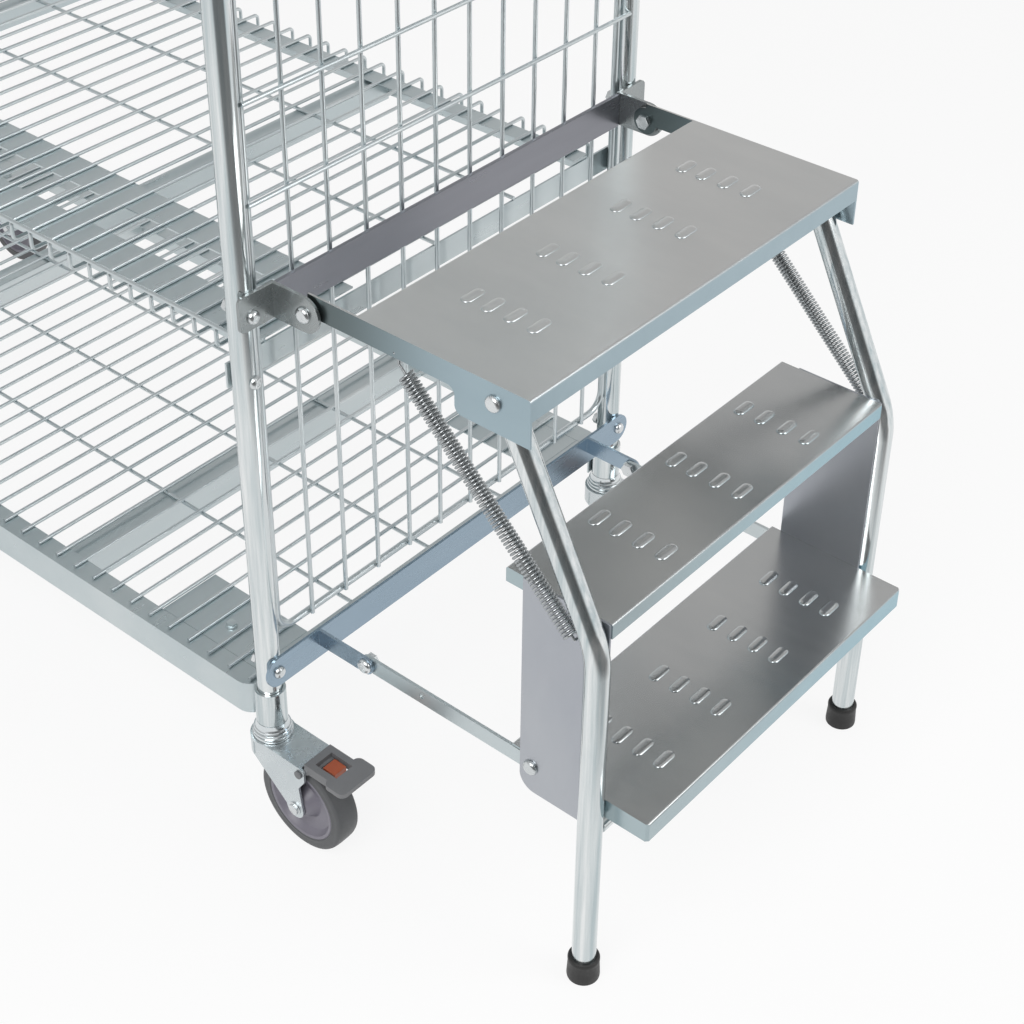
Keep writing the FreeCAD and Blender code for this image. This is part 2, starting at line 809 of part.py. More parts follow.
def platform():
    back = platform_back
    front = platform_front
    under = platform_top - platform_sheet
    half = arm_inner
    sheet = box(back, front, -half, half, under, platform_top)
    front_low = platform_top - platform_front_flange
    back_low = platform_top - platform_back_flange
    front_flange = box(front - platform_sheet, front, -half, half, front_low, platform_top)
    back_flange = box(back, back + platform_sheet, -half, half, back_low, platform_top)
    arm_bottom = platform_top - arm_height
    gusset_back = front - gusset_length
    outer = platform_half_width
    arm = box(pivot_a.x, front, arm_inner, outer, arm_bottom, platform_top)
    gusset = box(gusset_back, front, arm_inner, outer, platform_top - gusset_height, platform_top)
    arm_end = across(pivot_a, arm_inner, outer, arm_end_radius)
    side = joined(arm, gusset, arm_end)
    side = side.makeFillet(platform_fold, edges_at(side, front, platform_top))
    gusset_corners = edges_at(side, gusset_back, arm_bottom)
    gusset_corners += edges_at(side, gusset_back, platform_top - gusset_height)
    side = side.makeFillet(gusset_bend, gusset_corners)
    hole_start = arm_inner - overrun
    hole_end = outer + overrun
    side = side.cut(across(pivot_a, hole_start, hole_end, pivot_bolt_radius + hole_clearance))
    side = side.cut(across(pivot_b, hole_start, hole_end, pivot_bolt_radius))
    side = side.cut(across(spring_hole, hole_start, hole_end, spring_wire_radius + hole_clearance))
    deck = joined(sheet, front_flange, back_flange)
    folds = edges_at(deck, front, platform_top) + edges_at(deck, back, platform_top)
    return joined(deck.makeFillet(platform_fold, folds), *on_both_sides(side))


def leg():
    # Built for the far side: upright from the floor, then leaning back to the platform pivot
    lean = V(pivot_b.x - leg_x, 0, pivot_b.z - leg_bend_z).normalize()
    end = V(pivot_b.x, leg_centre_y, pivot_b.z) + lean * leg_end_overhang
    points = [V(leg_x, leg_centre_y, foot_sole), V(leg_x, leg_centre_y, leg_bend_z), end]
    shape = bent_tube(points, leg_bend, leg_radius, tube_wall)
    hole = across(pivot_b, plate_outer - overrun, platform_half_width, pivot_bolt_radius + hole_clearance)
    return shape.cut(hole)


def rubber_foot():
    # Built for the far side
    base = V(leg_x, leg_centre_y, 0)
    body = Part.makeCone(foot_bottom_radius, foot_top_radius, foot_height, base, up_z)
    bore = rod(base + up_z * foot_sole, base + up_z * (foot_height + overrun), leg_radius + fit_clearance)
    return body.cut(bore)


def side_plate():
    # Built for the far side, with its lower back corner rounded
    x_low = pivot_d.x - side_plate_back_margin
    x_high = leg_x + side_plate_front_margin
    z_low = side_plate_bottom
    centre = V(x_low + side_plate_corner, 0, z_low + side_plate_corner)
    corners = [(centre.x, z_low), (x_high, z_low), (x_high, tread_middle_top)]
    corners += [(x_low, tread_middle_top), (x_low, centre.z)]
    body = outline_plate(corners, plate_inner, plate_outer)
    round_corner = across(centre, plate_inner, plate_outer, side_plate_corner)
    hole_start = plate_inner - overrun
    hole_end = plate_outer + overrun
    plate = joined(body, round_corner)
    plate = plate.cut(across(pivot_d, hole_start, hole_end, pivot_bolt_radius))
    return plate.cut(across(spring_low, hole_start, hole_end, spring_wire_radius + hole_clearance))


def tread_middle():
    back = steps_x + tread_middle_back_reach
    front = back + tread_middle_depth
    low = tread_middle_top - tread_middle_flange
    outside = box(back, front, -plate_inner, plate_inner, low, tread_middle_top)
    inside_half = plate_inner - tread_sheet
    under = tread_middle_top - tread_sheet
    inside = box(back + tread_sheet, front - tread_sheet, -inside_half, inside_half, low - overrun, under)
    folds = edges_at(outside, front, tread_middle_top) + edges_at(outside, back, tread_middle_top)
    return outside.makeFillet(tread_fold, folds).cut(inside)


def tread_lower():
    back = steps_x + tread_lower_back_reach
    front = back + tread_lower_depth
    low = tread_lower_top - tread_lower_flange
    half = plate_inner
    cut_x = front - tread_lower_chamfer
    cut_y = half - tread_lower_chamfer
    corners = [(back, -half), (cut_x, -half), (front, -cut_y), (front, cut_y), (cut_x, half), (back, half)]
    face = Part.Face(Part.makePolygon([V(x, y, low) for x, y in corners + corners[:1]]))
    outside = face.extrude(V(0, 0, tread_lower_flange))
    folds = edges_at(outside, front, tread_lower_top) + edges_at(outside, back, tread_lower_top)
    outside = outside.makeFillet(tread_fold, folds)
    wall = tread_sheet
    skew = wall * math.tan(math.radians(45) / 2)
    inner = [(back + wall, -half + wall), (cut_x - skew, -half + wall), (front - wall, -cut_y + skew)]
    inner += [(x, -y) for x, y in inner[::-1]]
    inner_face = Part.Face(Part.makePolygon([V(x, y, low - overrun) for x, y in inner + inner[:1]]))
    tray = outside.cut(inner_face.extrude(V(0, 0, tread_lower_flange + overrun - wall)))
    # The skirt stops short of the link on each side
    link_front = pivot_d.x + tread_lower_side_gap
    under = tread_lower_top - wall
    relief = box(back - overrun, link_front, tread_lower_back_half, half + overrun, low - overrun, under)
    for cutter in on_both_sides(relief):
        tray = tray.cut(cutter)
    return tray


def step_cross_bar():
    return rod(V(leg_x, -plate_inner, step_bar_z), V(leg_x, plate_inner, step_bar_z), step_bar_radius)


def link():
    # Built for the far side
    z_low = pivot_c.z - link_half_height
    z_high = pivot_c.z + link_half_height
    bar = box(pivot_c.x, pivot_d.x, link_inner, link_outer, z_low, z_high)
    ends = [across(pivot, link_inner, link_outer, link_half_height) for pivot in (pivot_c, pivot_d)]
    shape = joined(bar, *ends)
    hole_start = link_inner - overrun
    hole_end = link_outer + overrun
    small_hole = pivot_c + long_x * link_hole_inset
    shape = shape.cut(across(small_hole, hole_start, hole_end, link_hole_radius))
    shape = shape.cut(across(pivot_c, hole_start, hole_end, pivot_bolt_radius + hole_clearance))
    return shape.cut(across(pivot_d, hole_start, hole_end, pivot_bolt_radius + loose_pivot_clearance))


def platform_pivot_bolts():
    near = side_bolt(pivot_b, platform_half_width, plate_outer - running_gap)
    return on_both_sides(near)


def link_pivot_bolts():
    near = side_bolt(pivot_d, plate_outer, link_inner - running_gap)
    return on_both_sides(near)


# Springs

def biarc(start, start_heading, end, end_heading):
    # Two tangent arcs that leave the start and reach the end along the given headings
    chord = end - start
    total = start_heading + end_heading
    spread = 2 * (1 - start_heading.dot(end_heading))
    along = chord.dot(total)
    reach = (math.sqrt(along * along + spread * chord.dot(chord)) - along) / spread
    first_corner = start + start_heading * reach
    second_corner = end - end_heading * reach
    meeting = (first_corner + second_corner) / 2
    return [corner_arc(start, first_corner, meeting), corner_arc(meeting, second_corner, end)]


def corner_arc(start, corner, end):
    middle = (start + end) / 2
    half_chord = (end - start).Length / 2
    rise = (corner - middle).Length
    sagitta = half_chord * math.tan(math.atan2(rise, half_chord) / 2)
    crown = middle + (corner - middle).normalize() * sagitta
    return Part.Arc(start, crown, end).toShape()


def spring_path():
    # Built for the near side, from the hole in the arm to the hole in the side plate
    hole = spring_hole - wide_y * spring_y
    top = spring_top - wide_y * spring_y
    low = spring_low - wide_y * spring_y
    axis = (low - top).normalize()
    side = V(wide_y)
    other = axis.cross(side)
    coil_start = top + axis * spring_top_lead
    rise = spring_pitch / (math.pi * 2)

    def place(turn):
        spoke = side * math.cos(turn) + other * math.sin(turn)
        return coil_start + axis * (rise * turn) + spoke * spring_coil_radius

    def heading(turn):
        spoke = other * math.cos(turn) - side * math.sin(turn)
        return (spoke * spring_coil_radius + axis * rise).normalize()

    last_turn = math.pi * 2 * spring_curls
    blend_start = coil_start - axis * spring_blend_length
    blend_end = coil_start + axis * (spring_coil_length + spring_blend_length)
    top_end = V(hole.x, -platform_half_width, hole.z)
    low_end = V(low.x, -plate_inner, low.z)
    edges = bent_path([top_end, hole, top, blend_start], spring_hook_bend)
    edges += biarc(blend_start, axis, place(0), heading(0))
    for half_turn in range(spring_curls * 2):
        start = math.pi * half_turn
        end = start + math.pi
        edges += biarc(place(start), heading(start), place(end), heading(end))
    edges += biarc(place(last_turn), heading(last_turn), blend_end, axis)
    edges += bent_path([blend_end, low, low_end], spring_hook_bend)
    return edges, top_end


def report_spring_gap(edges):
    # The least gap between stretches of wire that lie more than half a turn apart along it
    points = []
    travelled = 0
    for edge in edges:
        step = edge.Length / spring_gap_samples_per_half_turn
        for place in edge.discretize(spring_gap_samples_per_half_turn + 1)[:-1]:
            points.append((travelled, place))
            travelled += step
    apart = math.pi * spring_coil_radius
    window = spring_gap_samples_per_half_turn * 12
    least = min(
        (other - place).Length
        for index, (along, place) in enumerate(points)
        for other_along, other in points[index + 1:index + window]
        if other_along - along > apart
    )
    radii = [edge.Curve.Radius for edge in edges if hasattr(edge.Curve, "Radius")]
    print("spring: least gap to itself", round(least - spring_wire_radius * 2, 2))
    print("spring: tightest bend", round(min(radii), 2), "wire radius", spring_wire_radius)


def spring():
    edges, start = spring_path()
    report_spring_gap(edges)
    return swept(edges, start, wide_y, spring_wire_radius)


# Castors

def castor_head(x, y):
    base = V(x, y, 0)
    shape = joined(
        rod(base + up_z * castor_head_bottom, base + up_z * castor_ring_bottom, castor_head_radius),
        rod(base + up_z * castor_ring_bottom, base + up_z * castor_neck_bottom, castor_ring_radius),
        rod(base + up_z * castor_neck_bottom, base + up_z * post_bottom, castor_neck_radius),
        rod(base + up_z * post_bottom, base + up_z * (post_bottom + castor_stem_height),
            post_radius - tube_wall - fit_clearance),
    )
    bore_start = base + up_z * (castor_head_bottom - overrun)
    bore_end = base + up_z * (castor_head_bottom + kingpin_height + running_gap)
    return shape.cut(rod(bore_start, bore_end, kingpin_radius + fit_clearance))


def castor_fork(x, y, braked):
    # A pressed crown, round at the back, with two cheeks that narrow down to the axle
    top = castor_head_bottom - running_gap
    under = top - fork_plate
    back_low = under - fork_back_drop
    axle_x = x + wheel_trail
    back_x = x - math.sqrt(fork_crown_radius ** 2 - fork_outer_half ** 2)
    crown_front = x + pedal_pivot_reach + fork_crown_lead
    cheek_front = x + pedal_pivot_reach + fork_lobe_radius
    crown = rod(V(x, y, under), V(x, y, top), fork_crown_radius)
    cover = box(x, crown_front, y - fork_outer_half, y + fork_outer_half, under, top)
    kingpin = rod(V(x, y, top), V(x, y, castor_head_bottom + kingpin_height), kingpin_radius)
    round_wall = tube(V(x, y, back_low), V(x, y, top), fork_crown_radius, fork_leg)
    behind = box(x - fork_crown_radius - overrun, back_x + fork_leg, y - fork_crown_radius,
                 y + fork_crown_radius, back_low, top)
    corners = [
        (back_x, back_low),
        (back_x, top),
        (crown_front, top),
        (cheek_front, under),
        (cheek_front, pedal_pivot_z - fork_lobe_radius),
        (axle_x + fork_waist_lead, wheel_radius + fork_waist_height),
        (axle_x + fork_foot_radius, wheel_radius),
        (axle_x - fork_foot_radius, wheel_radius),
    ]
    axle = V(axle_x, 0, wheel_radius)
    pedal_pivot = V(x + pedal_pivot_reach, 0, pedal_pivot_z)
    shape = joined(crown, cover, kingpin, round_wall.common(behind))
    for side in (-1, 1):
        y_start = y + side * fork_inner_half
        y_end = y + side * fork_outer_half
        cheek = outline_plate(corners, y_start, y_end)
        shape = joined(shape, cheek, across(axle, y_start, y_end, fork_foot_radius))
    reach = fork_outer_half + overrun
    shape = shape.cut(across(axle, y - reach, y + reach, axle_radius))
    if braked:
        pin_hole = across(pedal_pivot, y - reach, y + reach, pedal_stub_radius + fit_clearance)
        shape = shape.cut(pin_hole)
    return shape


def castor_axle(x, y):
    axle = V(x + wheel_trail, 0, wheel_radius)
    end = fork_outer_half + axle_head_height
    shank = across(axle, y - end, y + end, axle_radius)
    near_head = across(axle, y - end, y - fork_outer_half, axle_head_radius)
    far_head = across(axle, y + fork_outer_half, y + end, axle_head_radius)
    return joined(shank, near_head, far_head)


def wheel_turned(x, y, profile):
    # Turns a half section, given as radius and side, about the wheel's axle
    corners = [V(x + wheel_trail, y + side, wheel_radius + radius) for radius, side in profile]
    face = Part.Face(Part.makePolygon(corners + corners[:1]))
    return face.revolve(V(x + wheel_trail, y, wheel_radius), wide_y, 360)


def castor_tyre(x, y):
    half = tyre_width / 2
    shoulder = wheel_radius - tyre_edge_round
    profile = [(rim_radius, -half), (shoulder, -half), (wheel_radius, -half + tyre_edge_round)]
    profile += [(radius, -side) for radius, side in profile[::-1]]
    return wheel_turned(x, y, profile)


def castor_hub(x, y):
    bore = axle_radius + fit_clearance
    profile = [
        (bore, -hub_width / 2),
        (hub_boss_radius, -hub_width / 2),
        (hub_boss_radius, -hub_web_width / 2),
        (rim_inner_radius, -hub_web_width / 2),
        (rim_inner_radius, -rim_width / 2),
        (rim_radius, -rim_width / 2),
    ]
    profile += [(radius, -side) for radius, side in profile[::-1]]
    return wheel_turned(x, y, profile)


def brake_pedal(x, y):
    half = pedal_half
    top = pedal_bottom + pedal_thickness
    skirt_z = pedal_bottom - pedal_skirt_drop
    front = x + pedal_front_reach
    back = x + pedal_back_reach
    lobe_back = front - pedal_lobe_length
    neck = box(back, lobe_back + pedal_corner, y - half, y + half, pedal_bottom, top)
    lobe = box(lobe_back, front, y - pedal_lobe_half, y + pedal_lobe_half, pedal_bottom, top)
    corners = [edge for edge in lobe.Edges if edge.BoundBox.ZLength > pedal_thickness / 2]
    plate = joined(neck, lobe.makeFillet(pedal_corner, corners))
    window = box(x + pedal_window_back_reach, x + pedal_window_front_reach, y - pedal_window_half,
                 y + pedal_window_half, pedal_bottom - overrun, top + overrun)
    shape = plate.cut(window)
    pivot = V(x + pedal_pivot_reach, 0, pedal_pivot_z)
    lever_pivot = V(x + lever_reach, 0, lever_z)
    skirt_start = x + pedal_window_back_reach - pedal_lug_radius / 2
    skirt_end = x + pedal_window_front_reach - pedal_lug_radius / 2
    for side in (-1, 1):
        outer = y + side * half
        cheek_inner = outer - side * pedal_cheek
        lug = across(pivot, cheek_inner, outer, pedal_lug_radius)
        arm_points = [
            (pivot.x + pedal_lug_radius / 2, pivot.z + pedal_lug_radius / 2),
            (pivot.x + pedal_lug_radius / 2, pivot.z - pedal_lug_radius / 2),
            (skirt_start, skirt_z),
            (skirt_start, pedal_bottom),
            (back, pedal_bottom),
        ]
        arm = outline_plate(arm_points, cheek_inner, outer)
        rivet_start = y + side * pedal_rivet_start
        rivet_end = y + side * pedal_rivet_end
        stub = across(pivot, cheek_inner, rivet_end, pedal_stub_radius)
        rivet = across(pivot, rivet_start, rivet_end, pedal_rivet_radius)
        skirt_inner = outer - side * pedal_skirt_width
        y_low = min(outer, skirt_inner)
        y_high = max(outer, skirt_inner)
        skirt = box(skirt_start, skirt_end, y_low, y_high, skirt_z, pedal_bottom)
        stub_hole = across(lever_pivot, skirt_inner - side * overrun, skirt_inner + side * lever_stub_depth,
                           lever_stub_radius + fit_clearance)
        shape = joined(shape, skirt.cut(stub_hole), lug, arm, stub, rivet)
    shoe_start = x + shoe_back_reach
    shoe = box(shoe_start, shoe_start + shoe_length, y - shoe_half_width, y + shoe_half_width,
               pedal_bottom - shoe_height, pedal_bottom)
    return joined(shape, shoe)


def release_lever(x, y):
    pivot = V(x + lever_reach, 0, lever_z)
    barrel_half = pedal_half - pedal_skirt_width - running_gap
    stub_half = barrel_half + lever_stub_depth
    barrel = across(pivot, y - barrel_half, y + barrel_half, lever_barrel_radius)
    stubs = across(pivot, y - stub_half, y + stub_half, lever_stub_radius)
    toe = box(pivot.x, pivot.x + lever_length, y - lever_half_width, y + lever_half_width, lever_z, lever_top)
    return joined(barrel, stubs, toe)


# Files, one for each piece or group of like pieces

os.makedirs("parts", exist_ok=True)

for name, x, y in post_places():
    save("post_" + name, [post(name, x, y)])
    braked = name.startswith("steps")
    save("castor_fork_" + name, [castor_fork(x, y, braked)])
    save("castor_axle_" + name, [castor_axle(x, y)])
    save("castor_hub_" + name, [castor_hub(x, y)])
    save("castor_tyre_" + name, [castor_tyre(x, y)])
    if braked:
        save("brake_pedal_" + name.split("_")[1], [brake_pedal(x, y)])
        save("release_lever_" + name.split("_")[1], [release_lever(x, y)])

save("top_bow_steps", [top_bow(steps_x)])
save("top_bow_rear", [top_bow(rear_x)])
save("steps_end_mesh", end_mesh(steps_x, 1))
save("rear_end_mesh", end_mesh(rear_x, -1))

save("bottom_side_rail_near", [mirrored(bottom_side_rail())])
save("bottom_side_rail_far", [bottom_side_rail()])
save("bottom_end_rails", [bottom_end_rail(steps_x, 1), bottom_end_rail(rear_x, -1)])
save("bottom_cross_members", bottom_cross_members())
save("bottom_wires", bottom_wires())
save("corner_sockets", [corner_socket(x, y) for name, x, y in post_places()])
save("castor_heads", [castor_head(x, y) for name, x, y in post_places()])

save("middle_slotted_strip", [slotted_strip(middle_shelf_z)])
save("middle_far_strip", [shelf_strip(middle_shelf_z, strip_far_inner, strip_outer)])
save("middle_cross_members", shelf_channels(middle_shelf_z) + shelf_end_rails(middle_shelf_z))
save("middle_wires", shelf_wires(middle_shelf_z))
save("upper_shelf_frame", upper_shelf_frame())
save("upper_wires", shelf_wires(upper_shelf_z))

save("crossbar", [crossbar()])
save("platform_brackets", on_both_sides(platform_bracket()))
save("lower_end_rail", [lower_end_rail()])
save("frame_bolts", frame_bolts())

save("platform", [platform()])
save("platform_pivot_bolts", platform_pivot_bolts())
save("step_leg_near", [mirrored(leg())])
save("step_leg_far", [leg()])
save("side_plate_near", [mirrored(side_plate())])
save("side_plate_far", [side_plate()])
save("tread_middle", [tread_middle()])
save("tread_lower", [tread_lower()])
save("step_cross_bar", [step_cross_bar()])
save("rubber_feet", on_both_sides(rubber_foot()))
save("link_near", [mirrored(link())])
save("link_far", [link()])
save("link_pivot_bolts", link_pivot_bolts())
near_spring = spring()
save("spring_near", [near_spring])
save("spring_far", [mirrored(near_spring)])
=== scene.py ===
import json
import math

import bpy
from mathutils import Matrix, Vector

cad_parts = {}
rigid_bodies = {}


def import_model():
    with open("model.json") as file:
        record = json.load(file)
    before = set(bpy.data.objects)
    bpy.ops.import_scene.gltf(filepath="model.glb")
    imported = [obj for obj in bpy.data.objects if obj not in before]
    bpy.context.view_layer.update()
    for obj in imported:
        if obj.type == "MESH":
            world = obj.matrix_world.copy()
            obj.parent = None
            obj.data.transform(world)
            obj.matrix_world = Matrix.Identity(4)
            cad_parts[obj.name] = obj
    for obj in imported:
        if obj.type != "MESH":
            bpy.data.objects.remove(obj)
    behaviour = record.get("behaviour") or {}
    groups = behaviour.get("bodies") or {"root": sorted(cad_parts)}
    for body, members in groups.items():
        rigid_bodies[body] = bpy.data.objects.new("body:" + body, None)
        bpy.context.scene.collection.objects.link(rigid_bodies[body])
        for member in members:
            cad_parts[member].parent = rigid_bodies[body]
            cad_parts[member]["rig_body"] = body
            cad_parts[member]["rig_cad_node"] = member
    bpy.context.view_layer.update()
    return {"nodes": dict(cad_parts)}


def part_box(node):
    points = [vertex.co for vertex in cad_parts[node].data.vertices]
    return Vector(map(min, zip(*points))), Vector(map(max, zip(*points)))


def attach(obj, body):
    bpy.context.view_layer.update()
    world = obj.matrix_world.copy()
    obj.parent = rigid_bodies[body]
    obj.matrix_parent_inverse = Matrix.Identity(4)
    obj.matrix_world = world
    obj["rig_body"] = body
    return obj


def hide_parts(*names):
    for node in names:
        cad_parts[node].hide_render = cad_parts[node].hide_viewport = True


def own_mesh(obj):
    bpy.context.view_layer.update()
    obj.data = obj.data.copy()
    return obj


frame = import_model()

# Studio: a pale seamless floor in a white surround, with a greyer ceiling and a dim room behind the camera.
# Two large soft lamps light the trolley from above its near side and from in front of its steps.
# In the tubes the floor darkens a step or two in front of the steps, where the paper ends.
floor_size = 80
white = (1, 1, 1, 1)
paper_colour = (0.86, 0.86, 0.86, 1)
paper_roughness = 0.9
white_when_seen = 0.88
white_when_mirrored = 0.84
paper_end = (1.0, 1.6)
paper_side = (0.2, 0.6)
paper_end_gloom = 0.92
bpy.ops.object.select_all(action="DESELECT")
bpy.ops.mesh.primitive_plane_add(size=floor_size, location=(0, 0, 0))
floor = bpy.context.object
floor.name = "studio_floor"


def calculated(tree, operation, first, second):
    """The output of a two-value sum, where each value is a number or another output."""
    node = tree.nodes.new("ShaderNodeMath")
    node.operation = operation
    for socket, value in zip(node.inputs, (first, second)):
        if isinstance(value, float):
            socket.default_value = value
        else:
            tree.links.new(value, socket)
    return node.outputs[0]


def eased(tree, value, start, end, at_start, at_end):
    """The output of a smooth change from one level to another, while a value goes from start to end."""
    node = tree.nodes.new("ShaderNodeMapRange")
    node.interpolation_type = "SMOOTHSTEP"
    node.inputs["From Min"].default_value = start
    node.inputs["From Max"].default_value = end
    node.inputs["To Min"].default_value = at_start
    node.inputs["To Max"].default_value = at_end
    tree.links.new(value, node.inputs["Value"])
    return node.outputs["Result"]


def seen_and_mirrored(tree):
    """One for a camera or see-through ray, and one for a reflection."""
    path = tree.nodes.new("ShaderNodeLightPath")
    seen = calculated(tree, "MAXIMUM", path.outputs["Is Camera Ray"], path.outputs["Is Transmission Ray"])
    return seen, path.outputs["Is Glossy Ray"]


floor_paper = bpy.data.materials.new("floor_paper")
floor_paper.use_nodes = True
tree = floor_paper.node_tree
paper = tree.nodes["Principled BSDF"]
paper.inputs["Base Color"].default_value = paper_colour
paper.inputs["Roughness"].default_value = paper_roughness
glow = tree.nodes.new("ShaderNodeEmission")
glow.inputs["Color"].default_value = white
seen, mirrored = seen_and_mirrored(tree)
seen_share = calculated(tree, "MULTIPLY", seen, white_when_seen)
mirrored_share = calculated(tree, "MULTIPLY", mirrored, white_when_mirrored)
spot = tree.nodes.new("ShaderNodeNewGeometry")
place = tree.nodes.new("ShaderNodeSeparateXYZ")
tree.links.new(spot.outputs["Position"], place.inputs["Vector"])
ahead = eased(tree, place.outputs["X"], *paper_end, 0.0, 1.0)
beside = eased(tree, place.outputs["Y"], *paper_side, paper_end_gloom, 0.0)
gloom = calculated(tree, "MULTIPLY", mirrored, calculated(tree, "MULTIPLY", ahead, beside))
tree.links.new(calculated(tree, "SUBTRACT", 1.0, gloom), glow.inputs["Strength"])
blend = tree.nodes.new("ShaderNodeMixShader")
tree.links.new(calculated(tree, "MAXIMUM", seen_share, mirrored_share), blend.inputs["Fac"])
tree.links.new(paper.outputs[0], blend.inputs[1])
tree.links.new(glow.outputs[0], blend.inputs[2])
tree.links.new(blend.outputs[0], tree.nodes["Material Output"].inputs["Surface"])
floor.data.materials.append(floor_paper)

ceiling_rise = (0.05, 0.45)
ceiling_level = 0.6
room_heading = (0.656, 0.755)
room_edge = (0.55, 0.85)
room_level = 0.1
surround_level = 0.42
surround = bpy.data.worlds.new("white_surround")
bpy.context.scene.world = surround
surround.use_nodes = True
tree = surround.node_tree
sky = tree.nodes["Background"]
sky.inputs["Color"].default_value = white
heading = tree.nodes.new("ShaderNodeTexCoord")
parts = tree.nodes.new("ShaderNodeSeparateXYZ")
tree.links.new(heading.outputs["Generated"], parts.inputs["Vector"])
ceiling = eased(tree, parts.outputs["Z"], *ceiling_rise, 1.0, ceiling_level)
to_steps = calculated(tree, "MULTIPLY", parts.outputs["X"], room_heading[0])
to_far_side = calculated(tree, "MULTIPLY", parts.outputs["Y"], room_heading[1])
front = calculated(tree, "SUBTRACT", to_steps, to_far_side)
room = eased(tree, front, *room_edge, 1.0, room_level)
seen, mirrored = seen_and_mirrored(tree)
level = tree.nodes.new("ShaderNodeMapRange")
level.inputs["To Min"].default_value = surround_level
tree.links.new(calculated(tree, "MULTIPLY", ceiling, room), level.inputs["To Max"])
tree.links.new(mirrored, level.inputs["Value"])
tree.links.new(calculated(tree, "MAXIMUM", level.outputs["Result"], seen), sky.inputs["Strength"])

lamp_target = Vector((0.5, 0, 0.5))
for lamp_name, lamp_place, size, watts in (
    ("near_softbox", (1.3, -2.6, 3.0), 2.2, 70.0),
    ("steps_softbox", (3.2, 0.9, 2.2), 1.8, 40.0),
):
    bpy.ops.object.light_add(type="AREA", location=lamp_place)
    lamp = bpy.context.object
    lamp.name = lamp_name
    lamp.data.size = size
    lamp.data.energy = watts
    aim = lamp_target - Vector(lamp_place)
    lamp.rotation_euler = aim.to_track_quat("-Z", "Y").to_euler()

camera_place = (1.6603, -1.3773, 1.7063)
camera_tilt = 55.72
camera_heading = 40.98
bpy.ops.object.camera_add(location=camera_place)
camera = bpy.context.object
camera.rotation_euler = (math.radians(camera_tilt), 0, math.radians(camera_heading))
camera.data.sensor_width = 36
camera.data.lens = 69.24
camera.data.shift_x = 0.0367
camera.data.shift_y = -0.1244
camera.data.dof.use_dof = False
bpy.context.scene.camera = camera
bpy.context.scene.view_settings.view_transform = "Standard"

# Castor tyres: dark grey rubber moulded round the rim of each hub, with a lip beside the rim.
# The tread is slightly crowned and shows a fine moulding grain.
start_size = 0.001
same_point = 0.000001
seam_gap = 0.000002
turned_crease = math.radians(32)


def only(piece):
    bpy.ops.object.select_all(action="DESELECT")
    piece.select_set(True)
    bpy.context.view_layer.objects.active = piece


def turned(name, profile, axis, sides):
    """Spins a closed outline, given as distance from the axis and place along it, about the origin."""
    along = Vector(axis)
    spoke = Vector((1, 0, 0))
    bpy.ops.object.select_all(action="DESELECT")
    bpy.ops.mesh.primitive_plane_add(size=start_size)
    piece = bpy.context.object
    piece.name = name
    bpy.ops.object.mode_set(mode="EDIT")
    bpy.ops.mesh.merge(type="CENTER")
    points = [spoke * reach + along * height for reach, height in profile]
    bpy.ops.transform.translate(value=points[0])
    for last, point in zip(points, points[1:] + points[:1]):
        bpy.ops.mesh.extrude_region_move(TRANSFORM_OT_translate={"value": point - last})
    bpy.ops.mesh.select_all(action="SELECT")
    bpy.ops.mesh.remove_doubles(threshold=same_point)
    bpy.ops.mesh.spin(steps=sides, angle=math.tau, center=(0, 0, 0), axis=axis)
    bpy.ops.mesh.select_all(action="SELECT")
    bpy.ops.mesh.remove_doubles(threshold=seam_gap)
    bpy.ops.mesh.normals_make_consistent(inside=False)
    bpy.ops.object.mode_set(mode="OBJECT")
    bpy.ops.object.shade_smooth_by_angle(angle=turned_crease)
    return piece


def both_halves(outline):
    """A wheel's half outline, carried on to its other side."""
    return outline + [(reach, -place) for reach, place in outline[::-1]]


def placed_copy(model, name, place, turn=(0, 0, 0)):
    only(model)
    bpy.ops.object.duplicate()
    copy = bpy.context.object
    copy.name = name
    copy.location = place
    copy.rotation_euler = turn
    bpy.ops.object.transform_apply(location=True, rotation=True, scale=True)
    return copy


def put_away(model):
    only(model)
    bpy.ops.object.delete()


def fit_out(piece, material, body, node):
    """Gives a piece its finish, puts it on its body and lets it stand for its node."""
    piece.data.materials.clear()
    piece.data.materials.append(material)
    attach(piece, body)
    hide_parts(node)


def middle_of(node):
    low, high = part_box(node)
    return (low + high) / 2


